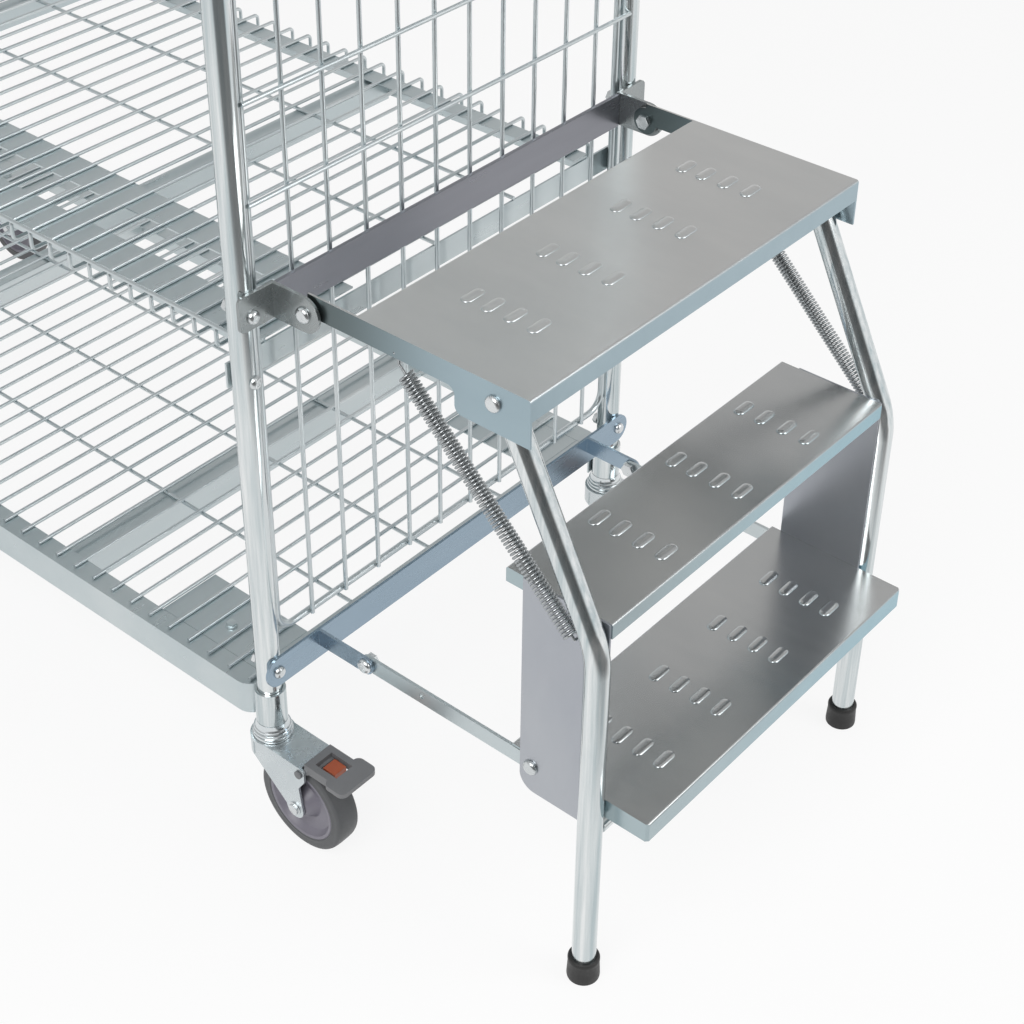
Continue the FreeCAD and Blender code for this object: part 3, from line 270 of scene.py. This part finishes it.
def grained(name, shade, tint, roughness, grain, metal,
            relief=0.0, stretch=(1, 1, 1), cloud=7.0, spread=0.12):
    """A finish with slow clouds of colour and a fine grain in its gloss and relief."""
    cloud_detail = 5.0
    cloud_roughness = 0.62
    shade_at = 0.32
    tint_at = 0.68
    grain_detail = 4.0
    grain_low = 0.3
    grain_high = 0.7
    relief_strength = 0.35
    material = bpy.data.materials.new(name)
    material.use_nodes = True
    tree = material.node_tree
    surface = tree.nodes["Principled BSDF"]
    surface.inputs["Metallic"].default_value = metal
    coords = tree.nodes.new("ShaderNodeTexCoord")
    lay = tree.nodes.new("ShaderNodeMapping")
    lay.inputs["Scale"].default_value = stretch
    tree.links.new(coords.outputs["Object"], lay.inputs["Vector"])
    clouds = tree.nodes.new("ShaderNodeTexNoise")
    clouds.inputs["Scale"].default_value = cloud
    clouds.inputs["Detail"].default_value = cloud_detail
    clouds.inputs["Roughness"].default_value = cloud_roughness
    tree.links.new(lay.outputs["Vector"], clouds.inputs["Vector"])
    colours = tree.nodes.new("ShaderNodeValToRGB")
    for stop, position, colour in zip(colours.color_ramp.elements, (shade_at, tint_at), (shade, tint)):
        stop.position = position
        stop.color = (*colour, 1)
    tree.links.new(clouds.outputs["Fac"], colours.inputs["Fac"])
    tree.links.new(colours.outputs["Color"], surface.inputs["Base Color"])
    fine = tree.nodes.new("ShaderNodeTexNoise")
    fine.inputs["Scale"].default_value = grain
    fine.inputs["Detail"].default_value = grain_detail
    tree.links.new(lay.outputs["Vector"], fine.inputs["Vector"])
    gloss = tree.nodes.new("ShaderNodeMapRange")
    gloss.inputs["From Min"].default_value = grain_low
    gloss.inputs["From Max"].default_value = grain_high
    gloss.inputs["To Min"].default_value = roughness - spread / 2
    gloss.inputs["To Max"].default_value = roughness + spread / 2
    tree.links.new(fine.outputs["Fac"], gloss.inputs["Value"])
    tree.links.new(gloss.outputs["Result"], surface.inputs["Roughness"])
    if relief:
        bump = tree.nodes.new("ShaderNodeBump")
        bump.inputs["Strength"].default_value = relief_strength
        bump.inputs["Distance"].default_value = relief
        tree.links.new(fine.outputs["Fac"], bump.inputs["Height"])
        tree.links.new(bump.outputs["Normal"], surface.inputs["Normal"])
    return material


corners = ("steps_near", "steps_far", "rear_near", "rear_far")
wheel_sides = 72
tyre_rubber = grained("tyre_rubber", (0.082, 0.086, 0.09), (0.108, 0.112, 0.118),
                      roughness=0.46, grain=420, metal=0.0, relief=0.0001)
half_tyre = [
    (0.0480, -0.0150), (0.0492, -0.0159), (0.0510, -0.0159), (0.0524, -0.0153), (0.0560, -0.0158),
    (0.0592, -0.0154), (0.0612, -0.0140), (0.0621, -0.0115), (0.0625, -0.0055),
]
tyre_model = turned("tyre_model", both_halves(half_tyre), (0, 1, 0), wheel_sides)
for corner in corners:
    tyre = placed_copy(tyre_model, "tyre_" + corner, middle_of("castor_tyre_" + corner))
    fit_out(tyre, tyre_rubber, "wheel_" + corner, "castor_tyre_" + corner)
put_away(tyre_model)

# Castor hubs: grey moulded plastic, dished between a raised rim and a cone-shaped boss round the axle.
# The moulding is the same on both sides.
hub_plastic = grained("hub_plastic", (0.20, 0.19, 0.23), (0.26, 0.25, 0.29),
                      roughness=0.36, grain=260, metal=0.0, relief=0.0001)
half_hub = [
    (0.0051, -0.0200), (0.0100, -0.0200), (0.0135, -0.0192), (0.0165, -0.0160), (0.0200, -0.0095),
    (0.0230, -0.0062), (0.0310, -0.0056), (0.0390, -0.0075), (0.0425, -0.0118), (0.0438, -0.0148),
    (0.0455, -0.0156), (0.0472, -0.0155), (0.0480, -0.0148),
]
hub_model = turned("hub_model", both_halves(half_hub), (0, 1, 0), wheel_sides)
for corner in corners:
    hub = placed_copy(hub_model, "hub_" + corner, middle_of("castor_hub_" + corner))
    fit_out(hub, hub_plastic, "wheel_" + corner, "castor_hub_" + corner)
put_away(hub_model)

# Castor forks: zinc plated pressed steel, a round crown with two tapering cheeks.
# Each fork hangs from its head by a riveted kingpin and turns round it.
merge_gap = 0.000005
flat_angle = math.radians(1.5)
edge_angle = math.radians(40)
smooth_angle = math.radians(35)
fork_edge = 0.0012


def finished_copy(node, name, rounding=0.0, steps=2):
    """A copy of a node's shape, with its edges broken where the piece is stout enough to show it."""
    only(frame["nodes"][node])
    bpy.ops.object.duplicate()
    piece = bpy.context.object
    piece.name = name
    bpy.ops.object.parent_clear(type="CLEAR_KEEP_TRANSFORM")
    del piece["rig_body"]
    del piece["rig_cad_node"]
    bpy.ops.mesh.customdata_custom_splitnormals_clear()
    bpy.ops.object.mode_set(mode="EDIT")
    bpy.ops.mesh.select_all(action="SELECT")
    bpy.ops.mesh.remove_doubles(threshold=merge_gap)
    if rounding:
        bpy.ops.mesh.dissolve_limited(angle_limit=flat_angle)
    bpy.ops.object.mode_set(mode="OBJECT")
    if rounding:
        edges = piece.modifiers.new("broken_edges", "BEVEL")
        edges.width = rounding
        edges.segments = steps
        edges.limit_method = "ANGLE"
        edges.angle_limit = edge_angle
        edges.use_clamp_overlap = True
        bpy.ops.object.modifier_apply(modifier=edges.name)
    bpy.ops.object.shade_smooth_by_angle(angle=smooth_angle)
    flats = piece.modifiers.new("flat_faces", "WEIGHTED_NORMAL")
    flats.weight = 100
    flats.keep_sharp = True
    bpy.ops.object.modifier_apply(modifier=flats.name)
    return piece


pressed_zinc = grained("pressed_zinc", (0.56, 0.61, 0.63), (0.68, 0.72, 0.73),
                       roughness=0.28, grain=90, metal=0.9)
for corner in corners:
    fork = finished_copy("castor_fork_" + corner, "fork_" + corner, fork_edge, steps=3)
    fit_out(fork, pressed_zinc, "castor_" + corner, "castor_fork_" + corner)


# Castor heads: turned steel, a sleeve foot over three polished rings that hold the ball races.
# Each head's stem is pressed up into its post.
def together(name, parts):
    bpy.ops.object.select_all(action="DESELECT")
    for part in parts:
        part.select_set(True)
    bpy.context.view_layer.objects.active = parts[0]
    bpy.ops.object.join()
    piece = bpy.context.object
    piece.name = name
    return piece


ring_zinc = grained("ring_zinc", (0.60, 0.65, 0.67), (0.76, 0.79, 0.80),
                    roughness=0.18, grain=120, metal=0.95)
head_outline = [
    (0.0062, 0.1320), (0.0232, 0.1320), (0.0235, 0.1330), (0.0235, 0.1344), (0.0229, 0.1355),
    (0.0216, 0.1360), (0.0221, 0.1370), (0.0226, 0.1382), (0.0222, 0.1396), (0.0209, 0.1402),
    (0.0212, 0.1412), (0.0215, 0.1424), (0.0210, 0.1438), (0.0197, 0.1446), (0.0190, 0.1462),
    (0.0183, 0.1484), (0.0180, 0.1520), (0.0119, 0.1520), (0.0119, 0.2100), (0.0062, 0.2100),
]
head_sides = 48
head_model = turned("head_model", head_outline, (0, 0, 1), head_sides)
heads = []
for corner in corners:
    centre = middle_of("post_" + corner)
    heads.append(placed_copy(head_model, "castor_head_" + corner, (centre.x, centre.y, 0)))
put_away(head_model)
castor_heads = together("castor_head_set", heads)
fit_out(castor_heads, ring_zinc, "trolley", "castor_heads")

# Castor axles: a plated bolt through each hub, with a flanged hexagon on both sides of the fork.
# They stay still in the fork while the wheel turns on them.
bolt_zinc = grained("bolt_zinc", (0.60, 0.63, 0.64), (0.76, 0.78, 0.79),
                    roughness=0.24, grain=200, metal=0.95)
axle_head_height = 0.0040
bolt_sides = 24
flange_share = 0.3
hexagon_share = 0.8
hexagon_middle = 0.6
edge_share = 0.1


def hexagon_head(name, across, flange, height, shank, length):
    """A flanged hexagon standing on Z 0, with its shank below."""
    rim_height = height * flange_share
    bpy.ops.object.select_all(action="DESELECT")
    bpy.ops.mesh.primitive_cylinder_add(vertices=bolt_sides, radius=flange, depth=rim_height,
                                        location=(0, 0, rim_height / 2))
    rim = bpy.context.object
    bpy.ops.mesh.primitive_cylinder_add(vertices=6, radius=across / math.sqrt(3),
                                        depth=height * hexagon_share,
                                        location=(0, 0, height * hexagon_middle))
    crown = bpy.context.object
    bpy.ops.mesh.primitive_cylinder_add(vertices=bolt_sides, radius=shank, depth=length,
                                        location=(0, 0, -length / 2))
    stem = bpy.context.object
    for part in (rim, crown, stem):
        only(part)
        edges = part.modifiers.new("broken_edges", "BEVEL")
        edges.width = height * edge_share
        edges.segments = 2
        bpy.ops.object.modifier_apply(modifier=edges.name)
        bpy.ops.object.transform_apply(location=True)
    head = together(name, [rim, crown, stem])
    bpy.ops.object.shade_smooth_by_angle(angle=turned_crease)
    return head


axle_head = hexagon_head("axle_head", across=0.0125, flange=0.0085, height=axle_head_height,
                         shank=0.0050, length=0.0240)
for corner in corners:
    low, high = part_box("castor_axle_" + corner)
    centre = (low + high) / 2
    seat = (high.y - low.y) / 2 - axle_head_height
    near = placed_copy(axle_head, "axle_near", (centre.x, centre.y - seat, centre.z), (math.pi / 2, 0, 0))
    far = placed_copy(axle_head, "axle_far", (centre.x, centre.y + seat, centre.z), (-math.pi / 2, 0, 0))
    axle = together("axle_" + corner, [near, far])
    fit_out(axle, bolt_zinc, "castor_" + corner, "castor_axle_" + corner)
put_away(axle_head)

# Brake pedals and release levers: grey and red-orange moulded plastic on the two castors at the steps end.
# The pedal swings on two stubs in the fork, and the lever in its window lifts it again.
sides = ("near", "far")
pedal_plastic = grained("pedal_plastic", (0.16, 0.163, 0.17), (0.20, 0.203, 0.21),
                        roughness=0.42, grain=500, metal=0.0, relief=0.0001)
lever_plastic = grained("lever_plastic", (0.34, 0.075, 0.030), (0.44, 0.105, 0.040),
                        roughness=0.38, grain=400, metal=0.0, relief=0.0001)
pedal_edge = 0.0014
lever_edge = 0.0012
for side in sides:
    pedal = finished_copy("brake_pedal_" + side, "pedal_" + side, pedal_edge, steps=3)
    fit_out(pedal, pedal_plastic, "pedal_" + side, "brake_pedal_" + side)
    lever = finished_copy("release_lever_" + side, "lever_" + side, lever_edge, steps=3)
    fit_out(lever, lever_plastic, "lever_" + side, "release_lever_" + side)

# Corner sockets: short steel sleeves, pressed over the feet of the posts.
# The tray's corners are welded to them.
bright_zinc = grained("bright_zinc", (0.46, 0.53, 0.55), (0.80, 0.82, 0.82),
                      roughness=0.14, grain=150, metal=0.96,
                      stretch=(1, 1, 0.03), cloud=110.0, spread=0.06)
socket_edge = 0.0010
sockets = finished_copy("corner_sockets", "socket_set", socket_edge)
fit_out(sockets, bright_zinc, "trolley", "corner_sockets")

# Bottom tray: folded zinc plated angles round the edge, cross channels and corner plates under the wires.
# The corners are welded before plating, and each corner plate has a bolt.
zinc_sheet = grained("zinc_sheet", (0.50, 0.57, 0.59), (0.62, 0.67, 0.68),
                     roughness=0.3, grain=60, metal=0.9,
                     stretch=(1, 0.2, 1), cloud=5.0, spread=0.06)
tray_edge = 0.0010
plate_bolt_inset = 0.112
plate_bolt_side = 0.258
plate_top = 0.192
for node, name in (
    ("bottom_side_rail_near", "tray_rail_near"),
    ("bottom_side_rail_far", "tray_rail_far"),
    ("bottom_end_rails", "tray_end_rails"),
):
    rail = finished_copy(node, name, tray_edge)
    fit_out(rail, zinc_sheet, "trolley", node)
plate_bolt = hexagon_head("plate_bolt", across=0.0110, flange=0.0075, height=0.0045,
                          shank=0.0030, length=0.0060)
plate_bolts = []
for corner in corners:
    foot = middle_of("post_" + corner)
    bolt_x = foot.x - math.copysign(plate_bolt_inset, foot.x)
    bolt_y = math.copysign(plate_bolt_side, foot.y)
    plate_bolts.append(placed_copy(plate_bolt, "corner_plate_bolt", (bolt_x, bolt_y, plate_top)))
put_away(plate_bolt)
members = finished_copy("bottom_cross_members", "tray_cross_members", tray_edge)
members = together("tray_cross_members", [members] + plate_bolts)
fit_out(members, zinc_sheet, "trolley", "bottom_cross_members")

# Bottom wires: drawn steel rods laid across the tray and spot welded to three long rods.
# The whole grid is bright zinc plated.
wire_zinc = grained("wire_zinc", (0.52, 0.58, 0.60), (0.66, 0.70, 0.71),
                    roughness=0.3, grain=60, metal=0.95, spread=0.0)
tray_wires = finished_copy("bottom_wires", "tray_wires")
fit_out(tray_wires, wire_zinc, "trolley", "bottom_wires")

# Posts and top bows: round zinc plated tube.
# Each bow is bent from one length and joins the tops of the posts of an end.
for corner in corners:
    post = finished_copy("post_" + corner, "tube_post_" + corner)
    fit_out(post, bright_zinc, "trolley", "post_" + corner)
ends = ("steps", "rear")
bow_zinc = grained("bow_zinc", (0.46, 0.53, 0.55), (0.80, 0.82, 0.82),
                   roughness=0.14, grain=150, metal=0.96,
                   stretch=(1, 0.03, 1), cloud=110.0, spread=0.06)
for end in ends:
    bow = finished_copy("top_bow_" + end, "bow_" + end)
    fit_out(bow, bow_zinc, "trolley", "top_bow_" + end)

# End meshes: thin upright rods and cross rods, welded to a thicker border between the posts.
# The lower half has uprights only.
for end in ends:
    mesh = finished_copy(end + "_end_mesh", "wire_mesh_" + end)
    fit_out(mesh, wire_zinc, "trolley", end + "_end_mesh")

# Middle and upper shelves: folded strips and channels under a grid of wires.
# The wires hook down over both long edges, and the near strip of the middle shelf is slotted.
shelf_edge = 0.0008
for node, name in (
    ("middle_far_strip", "far_strip"),
    ("middle_cross_members", "middle_shelf_frame"),
    ("upper_shelf_frame", "upper_shelf_members"),
):
    member = finished_copy(node, name, shelf_edge)
    fit_out(member, zinc_sheet, "trolley", node)
slotted_strip = finished_copy("middle_slotted_strip", "slotted_strip")
fit_out(slotted_strip, zinc_sheet, "trolley", "middle_slotted_strip")
for node, name in (("middle_wires", "middle_shelf_wires"), ("upper_wires", "upper_shelf_wires")):
    wires = finished_copy(node, name)
    fit_out(wires, wire_zinc, "trolley", node)

# Crossbar, platform brackets and lower end rail: flat steel on the front of the steps end posts.
# The brackets' ears carry the platform, and the rail's ears carry the links.
bar_zinc = grained("bar_zinc", (0.22, 0.225, 0.25), (0.28, 0.285, 0.315),
                   roughness=0.3, grain=80, metal=0.9,
                   stretch=(1, 0.15, 1), cloud=6.0, spread=0.06)
bracket_zinc = grained("bracket_zinc", (0.30, 0.325, 0.33), (0.38, 0.405, 0.405),
                       roughness=0.26, grain=70, metal=0.9)
rail_zinc = grained("rail_zinc", (0.30, 0.39, 0.47), (0.36, 0.45, 0.53),
                    roughness=0.26, grain=70, metal=0.92,
                    stretch=(1, 0.2, 1), cloud=6.0, spread=0.06)
flat_edge = 0.0008
bolt_edge = 0.0008
bar = finished_copy("crossbar", "flat_crossbar", flat_edge)
fit_out(bar, bar_zinc, "trolley", "crossbar")
brackets = finished_copy("platform_brackets", "bracket_pair", flat_edge)
fit_out(brackets, bracket_zinc, "trolley", "platform_brackets")
end_rail = finished_copy("lower_end_rail", "link_rail", flat_edge)
fit_out(end_rail, rail_zinc, "trolley", "lower_end_rail")
frame_bolts = finished_copy("frame_bolts", "frame_bolt_set", bolt_edge)
fit_out(frame_bolts, bolt_zinc, "trolley", "frame_bolts")

# Platform: one galvanised sheet folded down all round, with long side arms and pressed grip marks.
# It hangs on the brackets at the back and on the legs at the front.
satin_sheet = grained("satin_sheet", (0.57, 0.575, 0.57), (0.62, 0.62, 0.61),
                      roughness=0.3, grain=55, metal=0.92,
                      stretch=(0.4, 1.2, 1), cloud=9.0, spread=0.04)
mark_radius = 0.0065
mark_straight = 0.0085
mark_height = 0.0022
mark_sunk = 0.0003
mark_crease = math.radians(60)


def grip_mark(name):
    """A raised oblong with round ends, pressed up from the sheet and lying along Y."""
    bpy.ops.object.select_all(action="DESELECT")
    bpy.ops.mesh.primitive_uv_sphere_add(segments=20, ring_count=12, radius=mark_radius)
    mark = bpy.context.object
    mark.name = name
    bpy.ops.object.mode_set(mode="EDIT")
    bpy.ops.mesh.select_all(action="SELECT")
    bpy.ops.mesh.bisect(plane_co=(0, 0, 0), plane_no=(0, 1, 0), clear_outer=True)
    bpy.ops.mesh.extrude_region_move(TRANSFORM_OT_translate={"value": (0, mark_straight, 0)})
    bpy.ops.mesh.select_all(action="SELECT")
    bpy.ops.transform.translate(value=(0, -mark_straight, 0))
    bpy.ops.object.mode_set(mode="OBJECT")
    halves = mark.modifiers.new("other_half", "MIRROR")
    halves.use_axis = (False, True, False)
    halves.merge_threshold = 0.00001
    bpy.ops.object.modifier_apply(modifier=halves.name)
    bpy.ops.object.mode_set(mode="EDIT")
    bpy.ops.mesh.select_all(action="SELECT")
    bpy.ops.transform.resize(value=(1, 1, (mark_height + mark_sunk) / mark_radius))
    bpy.ops.mesh.bisect(plane_co=(0, 0, 0), plane_no=(0, 0, 1), clear_inner=True, use_fill=True)
    bpy.ops.mesh.select_all(action="SELECT")
    bpy.ops.transform.translate(value=(0, 0, -mark_sunk))
    bpy.ops.mesh.normals_make_consistent(inside=False)
    bpy.ops.object.mode_set(mode="OBJECT")
    bpy.ops.object.shade_smooth_by_angle(angle=mark_crease)
    return mark


def mixed(tree, kind, factor, first, second):
    """The output of a colour mix, where each colour is a plain one or another output."""
    node = tree.nodes.new("ShaderNodeMix")
    node.data_type = "RGBA"
    node.blend_type = kind
    tree.links.new(factor, node.inputs["Factor"])
    for socket, colour in ((node.inputs["A"], first), (node.inputs["B"], second)):
        if isinstance(colour, tuple):
            socket.default_value = (*colour, 1)
        else:
            tree.links.new(colour, socket)
    return node.outputs["Result"]


def painted_side_reflection(material, axis, start, end, start_painted_side_tint, end_painted_side_tint):
    """Paints reflection and shade into the upright faces of a folded sheet: their colour is multiplied by a
    tint that changes along one axis from start to end.
    """
    tree = material.node_tree
    surface = tree.nodes["Principled BSDF"]
    plain = surface.inputs["Base Color"].links[0].from_socket
    coords = tree.nodes.new("ShaderNodeTexCoord")
    place = tree.nodes.new("ShaderNodeSeparateXYZ")
    tree.links.new(coords.outputs["Object"], place.inputs["Vector"])
    facing = tree.nodes.new("ShaderNodeSeparateXYZ")
    tree.links.new(coords.outputs["Normal"], facing.inputs["Vector"])
    along = eased(tree, place.outputs[axis], start, end, 0.0, 1.0)
    # Painted reflection and shade: only the faces that stand upright get the painted tint, the tops keep
    # their own colour.
    upright = calculated(tree, "SUBTRACT", 1.0, calculated(tree, "ABSOLUTE", facing.outputs["Z"], 0.0))
    painted_side_tint = mixed(tree, "MIX", along, start_painted_side_tint, end_painted_side_tint)
    tree.links.new(mixed(tree, "MULTIPLY", upright, plain, painted_side_tint), surface.inputs["Base Color"])


def with_grips(sheet, name, height, reaches, rows):
    mark = grip_mark("grip_mark")
    marks = [
        placed_copy(mark, "grip", (x, y, height))
        for y in rows
        for x in reaches
    ]
    put_away(mark)
    return together(name, [sheet] + marks)


low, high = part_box("platform")
arm_length = high.x - low.x
# Painted shade and painted reflection: the platform's upright faces are darkened strongly towards the
# brackets at the back of the arms, and tinted blue-grey towards the front.
painted_shade_end = low.x + 0.1 * arm_length
painted_reflection_end = low.x + 0.8 * arm_length
painted_side_reflection(satin_sheet, "X", painted_shade_end, painted_reflection_end, (0.20, 0.25, 0.26), (0.60, 0.76, 0.85))
platform_top = 0.718
platform_reaches = (0.6095, 0.6350, 0.6630, 0.6915)
platform_rows = (-0.170, -0.057, 0.062, 0.176)
platform = finished_copy("platform", "platform_sheet")
platform = with_grips(platform, "platform_sheet", platform_top, platform_reaches, platform_rows)
fit_out(platform, satin_sheet, "platform", "platform")
platform_bolts = finished_copy("platform_pivot_bolts", "platform_bolt_set", bolt_edge)
fit_out(platform_bolts, bolt_zinc, "platform", "platform_pivot_bolts")

# Legs: bent steel tube, upright from the floor and then leaning back to the platform.
# They turn on the platform's bolts.
for side in sides:
    leg = finished_copy("step_leg_" + side, "leg_" + side)
    fit_out(leg, bright_zinc, "step_frame", "step_leg_" + side)

# Feet: black rubber ferrules with a bead round the top.
# They are moulded in one piece and pushed over the ends of the legs.
foot_rubber = grained("foot_rubber", (0.012, 0.012, 0.012), (0.02, 0.02, 0.02),
                      roughness=0.5, grain=300, metal=0.0, relief=0.0002)
foot_outline = [
    (0.0010, 0.0), (0.0165, 0.0), (0.0178, 0.0008), (0.0180, 0.0025), (0.0176, 0.0120), (0.0170, 0.0235),
    (0.0174, 0.0250), (0.0174, 0.0275), (0.0166, 0.0292), (0.0150, 0.0300), (0.0134, 0.0298),
    (0.0133, 0.0060), (0.0010, 0.0060),
]
foot_sides = 40
leg_radius = 0.0132
foot_model = turned("foot_model", foot_outline, (0, 0, 1), foot_sides)
feet = []
for side in sides:
    low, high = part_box("step_leg_" + side)
    foot_x = high.x - leg_radius
    foot_y = (low.y + high.y) / 2
    feet.append(placed_copy(foot_model, "foot_" + side, (foot_x, foot_y, 0)))
put_away(foot_model)
foot_pair = together("foot_pair", feet)
fit_out(foot_pair, foot_rubber, "step_frame", "rubber_feet")

# Side plates, treads and the bar between the legs: folded galvanised sheet and one round steel rod.
# All are welded between the two legs, and the treads have the same pressed grip marks as the platform.
tread_sheet = grained("tread_sheet", (0.52, 0.53, 0.53), (0.57, 0.575, 0.57),
                      roughness=0.25, grain=55, metal=0.96,
                      stretch=(0.4, 1.2, 1), cloud=9.0, spread=0.04)
# Painted reflection: the treads' upright faces are tinted blue-grey, bluer towards the far side.
low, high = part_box("tread_lower")
painted_side_reflection(tread_sheet, "Y", low.y, high.y, (0.74, 0.88, 0.93), (0.58, 0.87, 1.0))
plate_sheet = grained("plate_sheet", (0.40, 0.42, 0.46), (0.46, 0.48, 0.51),
                      roughness=0.3, grain=55, metal=0.94,
                      stretch=(1, 1, 0.4), spread=0.04)
plate_edge = 0.0008
leg_bar_edge = 0.0006
for side in sides:
    plate = finished_copy("side_plate_" + side, "leg_plate_" + side, plate_edge)
    fit_out(plate, plate_sheet, "step_frame", "side_plate_" + side)
for node, name, tread_top, reaches, rows in (
    ("tread_middle", "middle_tread", 0.483, (0.7335, 0.7600, 0.7885, 0.8165), (-0.119, 0.011, 0.135)),
    ("tread_lower", "lower_tread", 0.253, (0.7745, 0.8015, 0.8285, 0.8555), (-0.155, -0.054, 0.054, 0.156)),
):
    tread = finished_copy(node, name)
    tread = with_grips(tread, name, tread_top, reaches, rows)
    fit_out(tread, tread_sheet, "step_frame", node)
leg_bar = finished_copy("step_cross_bar", "leg_bar", leg_bar_edge)
fit_out(leg_bar, bright_zinc, "step_frame", "step_cross_bar")

# Links: flat zinc plated steel bars with rounded ends, cut and drilled, one on each side.
# They turn on bolts in the end rail's ears and in the side plates, and keep the treads level.
link_edge = 0.0006
for side in sides:
    link = finished_copy("link_" + side, "link_bar_" + side, link_edge)
    fit_out(link, zinc_sheet, "link_" + side, "link_" + side)
link_bolts = finished_copy("link_pivot_bolts", "link_bolt_set", bolt_edge)
fit_out(link_bolts, bolt_zinc, "step_frame", "link_pivot_bolts")

# Springs: tension springs wound from bright wire, hooked between the platform's arms and the side plates.
# They help to lift the steps, and shorten as the steps fold.
spring_steel = grained("spring_steel", (0.36, 0.38, 0.39), (0.46, 0.48, 0.49),
                       roughness=0.26, grain=200, metal=0.95)
wire_radius = 0.0014
wire_crease = math.radians(60)
coil_wire_sides = 8
hook_wire_sides = 12
coil_radius = 0.0075
coil_start = 0.012
coil_length = 0.291
spring_turns = 75
steps_a_turn = 20
top_tail = Vector((0, -0.0080, 0))
foot_tail = Vector((0, 0.0220, 0))
steps_x = middle_of("post_steps_near").x
near_spring_y = -0.262
hook_hole = Vector((steps_x + 0.1718, near_spring_y, 0.698))
coil_top = Vector((steps_x + 0.1698, near_spring_y, 0.681))
coil_foot = Vector((steps_x + 0.3888, near_spring_y, 0.464))
along = (coil_foot - coil_top).normalized()


def straight_wire(name, start, end):
    """A short length of the spring's wire between two points."""
    run = end - start
    bpy.ops.object.select_all(action="DESELECT")
    bpy.ops.mesh.primitive_cylinder_add(vertices=hook_wire_sides, radius=wire_radius, depth=run.length,
                                        location=(start + end) / 2,
                                        rotation=run.to_track_quat("Z", "Y").to_euler())
    piece = bpy.context.object
    piece.name = name
    bpy.ops.object.transform_apply(location=True, rotation=True)
    bpy.ops.object.shade_smooth_by_angle(angle=wire_crease)
    return piece


for side, mirror in (("near", 1), ("far", -1)):
    bpy.ops.object.select_all(action="DESELECT")
    bpy.ops.mesh.primitive_circle_add(vertices=coil_wire_sides, radius=wire_radius, fill_type="NOTHING",
                                      location=(coil_radius, 0, 0), rotation=(math.pi / 2, 0, 0))
    coil = bpy.context.object
    coil.name = "spring_coil_" + side
    bpy.ops.object.transform_apply(location=True, rotation=True)
    winding = coil.modifiers.new("winding", "SCREW")
    winding.axis = "Z"
    winding.angle = math.tau
    winding.iterations = spring_turns
    winding.steps = steps_a_turn
    winding.render_steps = steps_a_turn
    winding.screw_offset = coil_length / spring_turns
    winding.use_merge_vertices = False
    bpy.ops.object.modifier_apply(modifier=winding.name)
    start = coil_top + along * coil_start
    end = start + along * coil_length
    coil.rotation_euler = along.to_track_quat("Z", "Y").to_euler()
    coil.location = start
    bpy.ops.object.transform_apply(location=True, rotation=True)
    hooks = [
        straight_wire("top_hook", start, coil_top),
        straight_wire("top_eye", coil_top, hook_hole),
        straight_wire("top_tail", hook_hole, hook_hole + top_tail),
        straight_wire("foot_hook", end, coil_foot),
        straight_wire("foot_tail", coil_foot, coil_foot + foot_tail),
    ]
    coil = together("spring_coil_" + side, [coil] + hooks)
    if mirror < 0:
        coil.scale.y = -1
        bpy.ops.object.transform_apply(scale=True)
    bpy.ops.object.mode_set(mode="EDIT")
    bpy.ops.mesh.select_all(action="SELECT")
    bpy.ops.mesh.fill_holes(sides=coil_wire_sides)
    bpy.ops.mesh.normals_make_consistent(inside=False)
    bpy.ops.object.mode_set(mode="OBJECT")
    bpy.ops.object.shade_smooth_by_angle(angle=wire_crease)
    fit_out(coil, spring_steel, "spring_" + side, "spring_" + side)
    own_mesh(coil)
